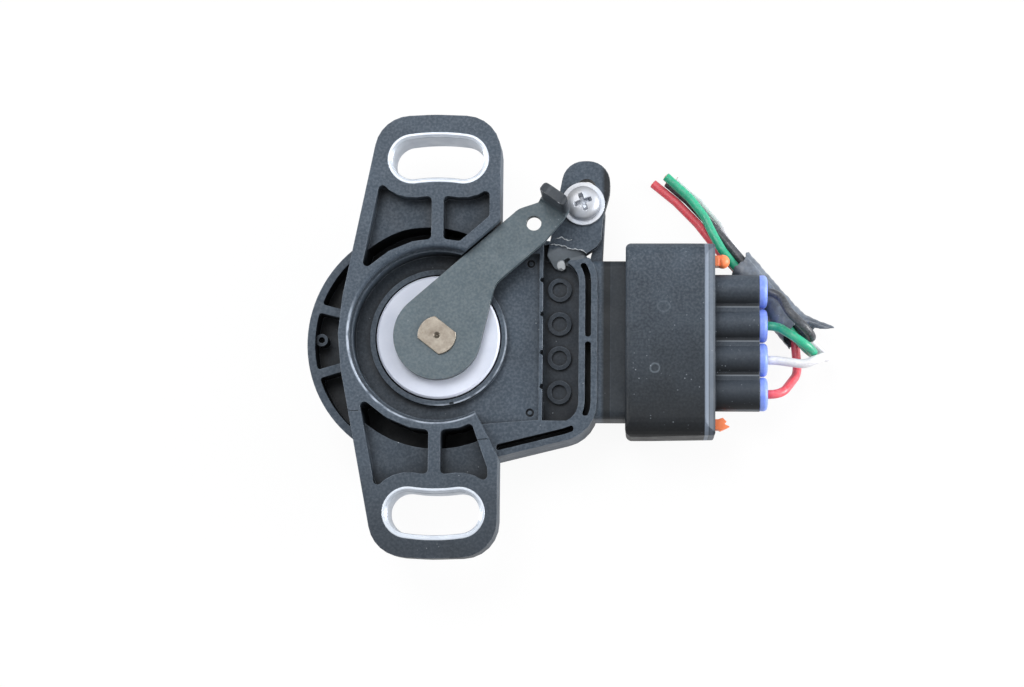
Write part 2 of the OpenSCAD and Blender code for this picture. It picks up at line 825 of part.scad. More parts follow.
// White moulded cap that turns with the shaft over the return spring
module return_rotor() color("#eceef2") {
    difference() {
        rotate_extrude()
            polygon([[0, lever_under], [4.6, lever_under], [4.9, rotor_seat],
                     [rotor_r - 0.3, rotor_seat], [rotor_r, rotor_seat - 0.3],
                     [rotor_r, recess_z + 0.5], [rotor_r - 1.1, recess_z + 0.5],
                     [rotor_r - 1.1, rotor_seat - 1.3], [5.1, rotor_seat - 1.3],
                     [5.1, flats_z + 0.02], [0, flats_z + 0.02]]);
        slab(flats_z - 1, lever_top) double_d(shaft_r, shaft_flats);
    }
}

module shaft_clip() color("#8f9398") {
    slab(clip_top - clip_t, clip_top)
        difference() {
            circle(r = clip_r);
            circle(r = groove_r);
            translate([0, -clip_gap / 2]) square([2 * clip_r, clip_gap]);
            for (a = [110, 250])
                rotate(a) translate([(clip_r + groove_r) / 2, 0]) circle(r = (clip_r - groove_r) / 3);
        }
}

// Paddle that carries the brushes over the resistor board
module brush_holder() color("#d9d3c4") {
    difference() {
        slab(holder_z, holder_top)
            union() {
                circle(r = holder_r);
                rotate(brush_angle)
                    polygon(rounded([[0, -holder_w[0] / 2, 0], [holder_reach, -holder_w[1] / 2, 1.5],
                                     [holder_reach, holder_w[1] / 2, 1.5], [0, holder_w[0] / 2, 0]]));
            }
        slab(holder_z - 1, holder_top + 1) double_d(foot_w[0] / 2, foot_w[1]);
    }
}

module brushes() color("#d0a54c") {
    reach = board_under - holder_top - 0.02;
    half = brush_len / 2;
    for (r = brush_tracks)
        rotate(brush_angle) translate([r, 0, holder_top])
            for (k = [-1, 1])
                rotate([90, 0, 90]) translate([0, 0, k * (finger_w + finger_gap) / 2 - finger_w / 2])
                    linear_extrude(finger_w)
                        polygon([[-half, 0], [-0.15 * half, 0], [0.7 * half, reach - 0.35],
                                 [0.9 * half, reach - brush_t], [1.05 * half, reach - 0.5],
                                 [1.1 * half, reach - 0.4], [0.95 * half, reach],
                                 [0.85 * half, reach], [0.65 * half, reach - 0.15],
                                 [-0.2 * half, brush_t], [-half, brush_t]]);
}

// Plug: a shell that closes over the shroud, a core and four seal barrels
module plug_shell() color("#2e3135") {
    difference() {
        union() {
            intersection() {
                beam(plug_x, shell_end) box(shell_w, shell_h, shell_round);
                slab(terminal_z - shell_h, terminal_z + shell_h)
                    polygon(rounded([[plug_x, -shell_w / 2, 1.2], [shell_end, -shell_w / 2 + 0.35, 0.4],
                                     [shell_end, shell_w / 2 - 0.15, 0.4], [plug_x, shell_w / 2, 1.2]]));
                translate([0, 0, terminal_z]) across(2 * shell_w)
                    polygon(rounded([[plug_x, -shell_h / 2, 1], [shell_end, -shell_h / 2, 0.6],
                                     [shell_end, shell_h / 2 - 1, 0.3],
                                     [shell_end - shell_back, shell_h / 2, 0.3],
                                     [plug_x, shell_h / 2, 1]]));
            }
            for (y = rows)
                rod_x(shell_end - 0.5, barrel_end, pitch / 2 + 0.02, y);
            beam(shell_end - 0.5, barrel_end) box(3 * pitch, 3.6);
        }
        difference() {
            union() {
                beam(plug_x - 1, shell_end - shell_back) box(shroud_w + 0.5, shroud_h + 0.4, 1.5);
                beam(shroud_end + 0.1, shell_end - shell_back) box(shell_w - 3.2, shroud_h + 0.4, 1);
            }
            beam(core_start, shell_end) box(core_w, core_h, 0.8);
        }
        beam(gasket_x, gasket_x + gasket_t)
            difference() {
                box(shroud_w, shroud_h);
                box(core_w - 1.2, core_h - 1.2, 0.4);
            }
        for (y = rows) {
            rod_x(plug_x, barrel_end + 1, bore_r, y);
            rod_x(shell_end + 0.8, barrel_end + 1, seal_r, y);
        }
        for (s = [-1, 1])
            translate([shell_end - shell_back - 1, s * retainer_y - 0.95, terminal_z - 1.3])
                cube([4, 1.9, 2.6]);
    }
}

// Distance from the plug's middle to each ear of its retainer
retainer_y = 13.3;

// Secondary lock: a frame round the core with an ear through each side of the shell
module plug_retainer() color("#e0763a") {
    x0 = shroud_end + 0.3;
    x1 = shell_end - shell_back - 0.1;
    beam(x0, x1)
        difference() {
            box(shell_w - 3.6, shroud_h, 0.8);
            box(core_w + 0.3, core_h + 0.3);
        }
    for (s = [-1, 1])
        translate([x1 - 0.01, s * retainer_y - 0.85, terminal_z - 1.1])
            cube([shell_end - x1 + (s > 0 ? 0.8 : 0.6), 1.7, 2.2]);
    translate([shell_end + 1.35, retainer_y, terminal_z]) sphere(r = 1.15, $fn = 32);
    // The lower ear has torn off short
    slab(terminal_z - 1.1, terminal_z + 1.1)
        polygon([[shell_end + 0.59, -retainer_y + 0.85], [shell_end + 1.3, -retainer_y + 1.1],
                 [shell_end + 1.9, -retainer_y + 0.5], [shell_end + 1.55, -retainer_y + 0.1],
                 [shell_end + 2.4, -retainer_y - 0.3], [shell_end + 1.5, -retainer_y - 0.75],
                 [shell_end + 0.9, -retainer_y - 1], [shell_end + 0.59, -retainer_y - 0.85]]);
}

module plug_gasket() color("#3f6fae") {
    beam(gasket_x, gasket_x + gasket_t)
        difference() {
            box(shroud_w - 2 * shroud_wall, shroud_h - 2 * shroud_wall, 0.8);
            box(core_w - 1.2, core_h - 1.2, 0.4);
        }
}

module plug_contacts() color("#c9b36a") {
    wire_core = 0.55;
    for (y = rows) {
        translate([0, y, 0])
            difference() {
                beam(contact_start, contact_start + 9) box(2.2, 2);
                beam(contact_start - 1, contact_start + 8) box(1.8, 1);
            }
        rod_x(contact_start + 9, shell_end + 2, 0.95, y);
        rod_x(shell_end + 2, seal_end - 0.6, wire_core, y);
    }
}

module wire_seals() color("#4a62c8") {
    for (y = rows)
        translate([0, y, terminal_z]) rotate([0, 90, 0])
            difference() {
                rotate_extrude()
                    polygon(rounded([[0, shell_end + 2, 0], [seal_r, shell_end + 2, 0.2],
                                     [seal_r, barrel_end, 0], [pitch / 2 - 0.06, barrel_end, 0],
                                     [pitch / 2 - 0.06, seal_end, 0.7], [0, seal_end, 0]]));
                translate([0, 0, shell_end]) cylinder(h = 12, r = 0.55);
                translate([0, 0, seal_end - 0.6]) cylinder(h = 2, r = wire_d / 2 + 0.02);
            }
}

// Sleeve over the four wires, lying on the same surface as the body
sleeve_from = [56.8, 3.6, -15.45];
sleeve_to = [48.2, 13.8, -15.45];
sleeve_run = sleeve_to - sleeve_from;
sleeve_r = 2.03;
sleeve_bore = 1.84;
lay = -body_depth + wire_d / 2 + 0.03;
upon = lay + wire_d + 0.07;

module wire_sleeve() color("#33343a") {
    translate(sleeve_from) rotate([0, 90, atan2(sleeve_run.y, sleeve_run.x)])
        difference() {
            cylinder(h = norm(sleeve_run), r = sleeve_r);
            translate([0, 0, -1]) cylinder(h = norm(sleeve_run) + 2, r = sleeve_bore);
        }
}

// Wires leave their seals straight, bend no tighter than two diameters and lie two by two in the sleeve
bend_r = 2.95;
fold = [0, 0, 2 * bend_r + 0.4];

function sleeve_at(side, level, s) =
    let (d = unit(sleeve_run), off = wire_d / 2 + 0.01)
    sleeve_from + s * d + off * [side * d.y, -side * d.x, level];

// Route through corner points, each rounded to the bend radius in its own plane
function bend(a, b, c) =
    let (u = unit(a - b), v = unit(c - b), turn = 180 - acos(u * v))
    turn < 4 ? [b] :
    let (half = 90 - turn / 2, mid = b + unit(u + v) * bend_r / sin(half),
         e = unit(b + u * bend_r / tan(half) - mid), n = ceil(turn / 45))
    [for (i = [0:n]) mid + bend_r * (cos(turn * i / n) * e - sin(turn * i / n) * u)];
function route(pts) = concat([pts[0]],
    [for (i = [1:len(pts) - 2]) each bend(pts[i - 1], pts[i], pts[i + 1])], [pts[len(pts) - 1]]);
// Beyond the sleeve's far end: t along its run, u to its right, at level z
function trail(p) =
    let (d = unit(sleeve_run))
    [sleeve_to.x + p[0] * d.x + p[1] * d.y, sleeve_to.y + p[0] * d.y - p[1] * d.x, p[2]];
function wire_path(row, out, side, level, fold_s, back) = route(concat(
    [[seal_end - 0.55, rows[row], terminal_z]], out,
    [for (s = fold_s) sleeve_at(side, level, s)], [sleeve_at(side, level, norm(sleeve_run) + 0.1)],
    [for (p = back) trail(p)]));

black_route = wire_path(3,
    [[54.5, 8.3, -10.6], [56.1, 4.8, -8.5], sleeve_at(1, 1, -3.9) + fold], 1, 1, [-3.9],
    [[3.4, 0.8, -14.9], [8.4, 0.95, lay], [13.5, 0.7, lay], [18, 0, lay]]);
green_route = wire_path(2,
    [[54.2, 2.8, -10.6], [56.6, 1, -8.4], sleeve_at(-1, 1, -6) + fold], -1, 1, [-6],
    [[3.2, -0.7, -14.2], [6.2, -0.1, -14.5], [9.3, 0.8, upon], [13.3, 1, upon], [18.7, 0.35, upon]]);
white_route = wire_path(1,
    [[54.2, -2.8, -10.6], [58.6, -3.5, -9.9], sleeve_at(1, -1, -7.8) + fold], 1, -1, [-7.8],
    [[3, 1.3, lay], [7, 2.45, lay], [12.5, 2.4, lay], [17.4, 1.6, lay]]);
red_route = wire_path(0,
    [[55, -8.3, -10.6], [57.9, -4.4, -15.6]], -1, -1, [-1.9],
    [[3.4, -0.85, lay], [9.5, -0.6, lay], [14.5, -0.95, lay], [19.4, -1.85, lay]]);

module wire_black() color("#1d1e20") tube(black_route, wire_d / 2);
module wire_green() color("#1f9a62") tube(green_route, wire_d / 2);
module wire_white() color("#e8e8ea") tube(white_route, wire_d / 2);
module wire_red() color("#d8434a") tube(red_route, wire_d / 2);

housing();
upper_sleeve();
lower_sleeve();
rear_cover();
resistor_board();
header_terminals();
shaft_bush();
shaft_seal();
return_spring();
stop_washer();
stop_screw();
stop_nut();
lever();
shaft();
return_rotor();
shaft_clip();
brush_holder();
brushes();
plug_shell();
plug_retainer();
plug_gasket();
plug_contacts();
wire_seals();
wire_black();
wire_green();
wire_white();
wire_red();
wire_sleeve();
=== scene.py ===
"""Dresses the brake pedal sensor: its finishes, the cut wires, the torn sleeve and the threaded screw."""

import logging
import math
from dataclasses import dataclass, field
from enum import Enum

import bpy
import numpy as np
from mathutils import Matrix, Vector


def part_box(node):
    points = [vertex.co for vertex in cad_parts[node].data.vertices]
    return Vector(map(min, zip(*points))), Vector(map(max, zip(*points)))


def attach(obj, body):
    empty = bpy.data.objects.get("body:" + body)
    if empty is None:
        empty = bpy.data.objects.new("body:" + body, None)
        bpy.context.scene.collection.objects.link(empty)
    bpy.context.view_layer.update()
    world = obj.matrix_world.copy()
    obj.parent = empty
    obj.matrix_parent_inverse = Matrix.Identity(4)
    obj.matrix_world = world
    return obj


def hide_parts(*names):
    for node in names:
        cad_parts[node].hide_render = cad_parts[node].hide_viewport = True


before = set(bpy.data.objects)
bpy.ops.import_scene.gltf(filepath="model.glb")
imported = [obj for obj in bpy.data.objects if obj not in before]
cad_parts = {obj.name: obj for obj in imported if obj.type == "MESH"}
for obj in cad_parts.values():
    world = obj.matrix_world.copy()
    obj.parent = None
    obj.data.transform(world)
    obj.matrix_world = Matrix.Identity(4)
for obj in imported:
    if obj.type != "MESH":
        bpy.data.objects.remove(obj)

log = logging.getLogger("brake_pedal_sensor")
Socket = bpy.types.NodeSocket
Tree = bpy.types.NodeTree
MM = 0.001
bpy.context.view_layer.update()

# Sizes in millimetres that part.scad shares with this script
PITCH = 5.55
TERMINAL_Z = -10.6
WIRE_D = 1.45
BEND_R = 2.95
TABLE_Z = -17.5
SLEEVE_FROM = np.array([56.8, 3.6, -15.45])
SLEEVE_TO = np.array([48.2, 13.8, -15.45])

# Level of a wire that lies on the table, and of one that lies upon another
LAY = TABLE_Z + WIRE_D / 2 + 0.03
UPON = LAY + WIRE_D + 0.07

# Run of the sleeve from its mouth, and places taken from the CAD parts
SLEEVE_RUN = (SLEEVE_TO - SLEEVE_FROM) / np.linalg.norm(SLEEVE_TO - SLEEVE_FROM)
SLEEVE_RIGHT = np.array([SLEEVE_RUN[1], -SLEEVE_RUN[0], 0.0])
SLEEVE_LENGTH = float(np.linalg.norm(SLEEVE_TO - SLEEVE_FROM))
SEAL_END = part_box("wire_seals")[1][0] / MM
WASHER = np.array(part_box("stop_washer")) / MM
SCREW_AT = np.array([*WASHER.mean(axis=0)[:2], WASHER[1, 2]])


def srgb(code: str) -> tuple[float, float, float, float]:
    """Turns an sRGB hex colour into linear values.

    Args:
        code: Six hex digits with a leading hash.

    Returns:
        Red, green, blue and an alpha of one.
    """
    parts = [int(code[i:i + 2], 16) / 255 for i in (1, 3, 5)]
    line = [p / 12.92 if p <= 0.04045 else ((p + 0.055) / 1.055) ** 2.4 for p in parts]
    return (*line, 1.0)


def unit(v: np.ndarray) -> np.ndarray:
    """Gives a vector's direction.

    Args:
        v: The vector.

    Returns:
        It at length one.
    """
    return v / np.linalg.norm(v)


# Finishes

# Reach in millimetres over which a hollow counts as one for the painted shade, and distance between dust
# specks
HOLLOW_REACH = 7.0
SPECK_PITCH = 0.9


class Make(Enum):
    """How a surface was made. The value is the height in millimetres of the grain that it leaves.

    The real grain is about a tenth as high. It is drawn as coarse as it needs to be to show.
    """

    MOULDED = 0.12
    PLATED = 0.06
    COATED = 0.14
    CAST_RUBBER = 0.10
    EXTRUDED = 0.05


def add(tree: Tree, kind: str, inputs: dict, out: int | str = 0, **settings: object) -> Socket | None:
    """Adds one node with its settings and its links.

    Args:
        tree: Node tree that the node goes into.
        kind: Node type without its ShaderNode prefix.
        inputs: Socket name or index to a value, or to an output that is linked to it.
        out: Name or index of the output that is wanted.
        **settings: Node properties by name.

    Returns:
        That output, or none for a node that has no outputs.
    """
    made = tree.nodes.new("ShaderNode" + kind)
    for name, value in settings.items():
        setattr(made, name, value)
    for name, value in inputs.items():
        if isinstance(value, Socket):
            tree.links.new(value, made.inputs[name])
        else:
            made.inputs[name].default_value = value
    return made.outputs[out] if made.outputs else None


def unevenness(tree: Tree, place: Socket, size_mm: float, detail: float = 2.0, rough: float = 0.5) -> Socket:
    """Gives a value that wanders over the surface, in patches of a real size.

    Args:
        tree: Node tree to work in.
        place: Output that carries the place.
        size_mm: Size of the largest patches.
        detail: Octaves of finer unevenness within them.
        rough: Weight of the finer octaves.

    Returns:
        Output that carries the value, about 0.5 on the whole.
    """
    return add(tree, "TexNoise", {"Vector": place, "Scale": 1 / (size_mm * MM), "Detail": detail,
                                  "Roughness": rough}, "Fac")


def lay(tree: Tree, under: Socket | tuple, code: str, shares: list[Socket | float]) -> Socket:
    """Lays a colour over another one, as far as the product of its shares says.

    Args:
        tree: Node tree to work in.
        under: Output that carries the colour below, or its value.
        code: sRGB hex of the colour on top.
        shares: Outputs and values from 0 to 1, an output first.

    Returns:
        Output that carries the colour.
    """
    part = shares[0]
    for share in shares[1:]:
        part = add(tree, "Math", {0: part, 1: share}, operation="MULTIPLY")
    return add(tree, "Mix", {0: part, 6: under, 7: srgb(code)}, 2, data_type="RGBA")


@dataclass(frozen=True)
class Layer:
    """Colour that lies over part of a piece.

    Attributes:
        colour: sRGB hex of it.
        part: Most of it that shows.
    """

    colour: str
    part: float

    def shares(self, tree: Tree, place: Socket) -> list[Socket | float]:
        """Finds the shares whose product says how much of the colour shows at a place."""
        raise NotImplementedError


@dataclass(frozen=True)
class Band(Layer):
    """Stretch along one axis over which a piece changes colour.

    Attributes:
        axis: Axis number.
        start: Place in millimetres where the change starts.
        full: Place where it is full.
        end: Place where the band stops, or none.
        blur: Half the width of that stop.
    """

    axis: int
    start: float
    full: float
    end: float | None = None
    blur: float = 0.05

    def shares(self, tree: Tree, place: Socket) -> list[Socket | float]:
        """Rises from start to full along the axis, and falls at the end.

        Args:
            tree: Node tree to work in.
            place: Output that carries the place.

        Returns:
            Shares whose product says how much shows.
        """
        along = add(tree, "SeparateXYZ", {0: place}, self.axis)
        rise = add(tree, "MapRange", {0: along, 1: self.start * MM, 2: self.full * MM})
        if self.end is None:
            return [rise, self.part]
        last, past = (self.end - self.blur) * MM, (self.end + self.blur) * MM
        return [rise, self.part, add(tree, "MapRange", {0: along, 1: past, 2: last})]


@dataclass(frozen=True)
class Spot(Layer):
    """Rounded region with a ragged rim.

    Attributes:
        centre: Its middle in millimetres.
        reach: Its half sizes in millimetres.
        hollow: Share of its reach that stays clean, which makes a ring of it.
        ragged: How far its rim wanders, in its own half sizes.
    """

    centre: tuple[float, float, float]
    reach: tuple[float, float, float]
    hollow: float = 0.0
    ragged: float = 0.35

    def shares(self, tree: Tree, place: Socket) -> list[Socket | float]:
        """Measures how far a place is from the middle in the spot's half sizes, plus the rim's wander.

        Args:
            tree: Node tree to work in.
            place: Output that carries the place.

        Returns:
            Shares whose product says how much shows.
        """
        middle, half = (tuple(c * MM for c in size) for size in (self.centre, self.reach))
        off = add(tree, "VectorMath", {0: place, 1: middle}, operation="SUBTRACT")
        sized = add(tree, "VectorMath", {0: off, 1: half}, operation="DIVIDE")
        far = add(tree, "VectorMath", {0: sized}, "Value", operation="LENGTH")
        wander = unevenness(tree, place, 0.9, 3.0)
        far = add(tree, "Math", {0: wander, 1: self.ragged, 2: far}, operation="MULTIPLY_ADD")
        inside = add(tree, "MapRange", {0: far, 1: 1.25, 2: 1.05})
        if not self.hollow:
            return [inside, self.part]
        return [inside, self.part, add(tree, "MapRange", {0: far, 1: self.hollow, 2: self.hollow + 0.2})]


@dataclass(frozen=True)
class PaintedBarrelLight(Layer):
    """Painted shade or a painted highlight line on the same side of each of a row of equal barrels.

    Attributes:
        pitch: Distance between barrels, along Y.
        start: Place along X where the barrels begin.
        low: Share of a pitch, from a barrel's lower edge, past which nothing shows.
        high: Share of a pitch below which all of it shows.
    """

    pitch: float
    start: float
    low: float
    high: float

    def shares(self, tree: Tree, place: Socket) -> list[Socket | float]:
        """Takes the place across the row, less whole pitches, as the side of a barrel.

        Args:
            tree: Node tree to work in.
            place: Output that carries the place.

        Returns:
            Shares whose product says how much shows.
        """
        along, across = (add(tree, "SeparateXYZ", {0: place}, axis) for axis in (0, 1))
        turns = add(tree, "Math", {0: across, 1: self.pitch * MM}, operation="DIVIDE")
        side = add(tree, "Math", {0: turns}, operation="FRACT")
        behind = add(tree, "MapRange", {0: along, 1: self.start * MM, 2: (self.start + 0.15) * MM})
        return [add(tree, "MapRange", {0: side, 1: self.low, 2: self.high}), behind, self.part]


@dataclass(frozen=True)
class RimHighlight(Layer):
    """Painted highlight along the edge of a round wall about the shaft, on one side of it.

    Attributes:
        radius: Radius of the edge in millimetres.
        half: Half the width of the painted highlight line.
        low: Level that the line stays above.
        towards: Way from the shaft to the middle of the highlighted stretch, of length one.
        start: Cosine, from that way, at which the line starts.
    """

    radius: float
    half: float
    low: float
    towards: tuple[float, float, float]
    start: float

    def shares(self, tree: Tree, place: Socket) -> list[Socket | float]:
        """Keeps near the radius in plan, on the line's side, above its level, and in patches.

        Args:
            tree: Node tree to work in.
            place: Output that carries the place.

        Returns:
            Shares whose product says how much shows.
        """
        plan = add(tree, "VectorMath", {0: place, 1: (1.0, 1.0, 0.0)}, operation="MULTIPLY")
        far = add(tree, "VectorMath", {0: plan}, "Value", operation="LENGTH")
        off = add(tree, "Math", {0: far, 1: self.radius * MM}, operation="SUBTRACT")
        gap = add(tree, "Math", {0: off}, operation="ABSOLUTE")
        side = add(tree, "VectorMath", {0: place, 1: self.towards}, "Value", operation="DOT_PRODUCT")
        level = add(tree, "SeparateXYZ", {0: place}, 2)
        radius = self.radius * MM
        return [add(tree, "MapRange", {0: gap, 1: 1.3 * self.half * MM, 2: 0.6 * self.half * MM}),
                add(tree, "MapRange", {0: side, 1: self.start * radius, 2: (self.start + 0.3) * radius}),
                add(tree, "MapRange", {0: level, 1: (self.low - 0.1) * MM, 2: (self.low + 0.1) * MM}),
                add(tree, "MapRange", {0: unevenness(tree, place, 1.6, 3.0), 1: 0.3, 2: 0.55}), self.part]


@dataclass(frozen=True)
class Finish:
    """One real finish, whose patterns are sized in millimetres.

    Attributes:
        name: Material name, the finish in a maker's words.
        make: How the surface was made.
        base: sRGB hex of the clean surface.
        shade: sRGB hex that the base drifts to over large patches.
        worn: sRGB hex of the fine grain, and of edges that have been rubbed.
        dust: sRGB hex of specks that lie on it.
        metallic: Shader's metallic value.
        rough: Shader's roughness.
        gloss: Shader's specular level, lower where dust dulls the surface.
        patch_mm: Size of the large patches of colour.
        grain_mm: Size of the grain, coarser than the real one, which the render could not show.
        grain_depth: How strongly the grain is felt.
        edge_mm: Radius that an edge shows.
        wear: How much of an edge is rubbed.
        specks: Share of the surface that carries dust specks.
        mottle: Strength of the fine colour grain.
        painted_hollow_shade: sRGB hex of the painted shade that darkens the hollows, or none.
        under: Layers below the painted shade of the hollows.
        over: Layers above it.
    """

    name: str
    make: Make
    base: str
    shade: str
    worn: str = "#9aa3ad"
    dust: str = "#b4bcc4"
    metallic: float = 0.0
    rough: float = 0.5
    gloss: float = 0.5
    patch_mm: float = 7.0
    grain_mm: float = 0.35
    grain_depth: float = 0.18
    edge_mm: float = 0.18
    wear: float = 0.35
    specks: float = 0.3
    mottle: float = 0.14
    painted_hollow_shade: str | None = None
    under: tuple[Layer, ...] = ()
    over: tuple[Layer, ...] = ()

    def build(self) -> bpy.types.Material:
        """Builds the material's nodes.

        Returns:
            The finished material.
        """
        made = bpy.data.materials.new(self.name)
        made.use_nodes = True
        tree = made.node_tree
        tree.nodes.clear()
        place = add(tree, "TexCoord", {}, "Object")
        normal, edge = self.edges(tree)
        shader = add(tree, "BsdfPrincipled", {
            "Base Color": self.colours(tree, place, edge), "Roughness": self.roughness(tree, place, edge),
            "Normal": self.bump(tree, place, normal), "Metallic": self.metallic,
            "Specular IOR Level": self.gloss})
        add(tree, "OutputMaterial", {"Surface": shader})
        return made

    def edges(self, tree: Tree) -> tuple[Socket, Socket]:
        """Rounds the edges in the shading, and finds where they are.

        The mask rises as the cosine between a face's own normal and a more widely rounded one falls.

        Args:
            tree: Node tree to work in.

        Returns:
            Outputs that carry the rounded normal and the edge mask.
        """
        rounded, wide = (add(tree, "Bevel", {"Radius": radius * MM}, samples=6)
                         for radius in (self.edge_mm, 1.6 * self.edge_mm))
        true = add(tree, "NewGeometry", {}, "True Normal")
        cosine = add(tree, "VectorMath", {0: wide, 1: true}, "Value", operation="DOT_PRODUCT")
        return rounded, add(tree, "MapRange", {0: cosine, 1: 0.985, 2: 0.80})

    def colours(self, tree: Tree, place: Socket, edge: Socket) -> Socket:
        """Lays patches, grain, layers, painted shade in the hollows, rubbed edges and specks over the base
        colour.

        Args:
            tree: Node tree to work in.
            place: Output that carries the place.
            edge: Output that carries the edge mask.

        Returns:
            Output that carries the colour.
        """
        drift = unevenness(tree, place, self.patch_mm, 4.0, 0.6)
        patches = add(tree, "MapRange", {0: drift, 1: 0.35, 2: 0.68})
        colour = lay(tree, srgb(self.base), self.shade, [patches])
        grain = add(tree, "MapRange", {0: unevenness(tree, place, 0.42), 1: 0.40, 2: 0.66})
        colour = lay(tree, colour, self.worn, [grain, self.mottle])
        for layer in self.under:
            colour = lay(tree, colour, layer.colour, layer.shares(tree, place))
        # Painted shade: the colour darkens where the occlusion node finds a hollow
        if self.painted_hollow_shade:
            sky = add(tree, "AmbientOcclusion", {"Distance": HOLLOW_REACH * MM}, "AO", samples=8)
            colour = lay(tree, colour, self.painted_hollow_shade, [add(tree, "MapRange", {0: sky, 1: 0.68, 2: 0.22})])
        for layer in self.over:
            colour = lay(tree, colour, layer.colour, layer.shares(tree, place))
        if self.wear:
            rub = add(tree, "MapRange", {0: unevenness(tree, place, 1.8, 3.0), 1: 0.38, 2: 0.66})
            colour = lay(tree, colour, self.worn, [edge, rub, self.wear])
        if self.specks:
            cell = add(tree, "TexVoronoi", {"Vector": place, "Scale": 1 / (SPECK_PITCH * MM)}, "Distance")
            dots = add(tree, "MapRange", {0: cell, 1: 0.10 + 0.05 * self.specks, 2: 0.05})
            few = 0.60 - 0.12 * self.specks
            where = add(tree, "MapRange", {0: unevenness(tree, place, 5.0), 1: few, 2: 0.72})
            colour = lay(tree, colour, self.dust, [dots, where])
        return colour

    def roughness(self, tree: Tree, place: Socket, edge: Socket) -> Socket:
        """Varies the roughness by handling marks, smoother along rubbed edges.

        Args:
            tree: Node tree to work in.
            place: Output that carries the place.
            edge: Output that carries the edge mask.

        Returns:
            Output that carries the roughness.
        """
        marks = add(tree, "MapRange", {0: unevenness(tree, place, 3.2, 4.0, 0.65), 1: 0.3, 2: 0.7,
                                       3: self.rough - 0.07, 4: self.rough + 0.09})
        return add(tree, "Math", {0: edge, 1: -0.08, 2: marks}, operation="MULTIPLY_ADD")

    def bump(self, tree: Tree, place: Socket, normal: Socket) -> Socket:
        """Adds the grain that the way of making leaves.

        Args:
            tree: Node tree to work in.
            place: Output that carries the place.
            normal: Output that carries the rounded normal.

        Returns:
            Output that carries the grained normal.
        """
        grain = unevenness(tree, place, self.grain_mm, 3.0, 0.6)
        return add(tree, "Bump", {"Strength": self.grain_depth, "Distance": self.make.value * MM,
                                  "Height": grain, "Normal": normal})


def vinyl(colour: str, base: str, shade: str, rough: float, specks: float) -> Finish:
    """Gives a wire's insulation: extruded vinyl, evenly coloured, with a soft shine along the wire.

    Args:
        colour: Plain name of the colour.
        base: sRGB hex of it.
        shade: sRGB hex that it drifts to.
        rough: Shader's roughness.
        specks: Share of the surface that carries dust specks.

    Returns:
        The finish.
    """
    return Finish(f"{colour} vinyl insulation", Make.EXTRUDED, base, shade, rough=rough, patch_mm=3.0,
                  wear=0.0, specks=specks)


# Colour of the painted highlight on the housing's rims, and the state of a piece that neither hand nor dust
# reaches
RIM_HIGHLIGHT = "#aab4c2"
UNTOUCHED = {"specks": 0.0, "wear": 0.0}

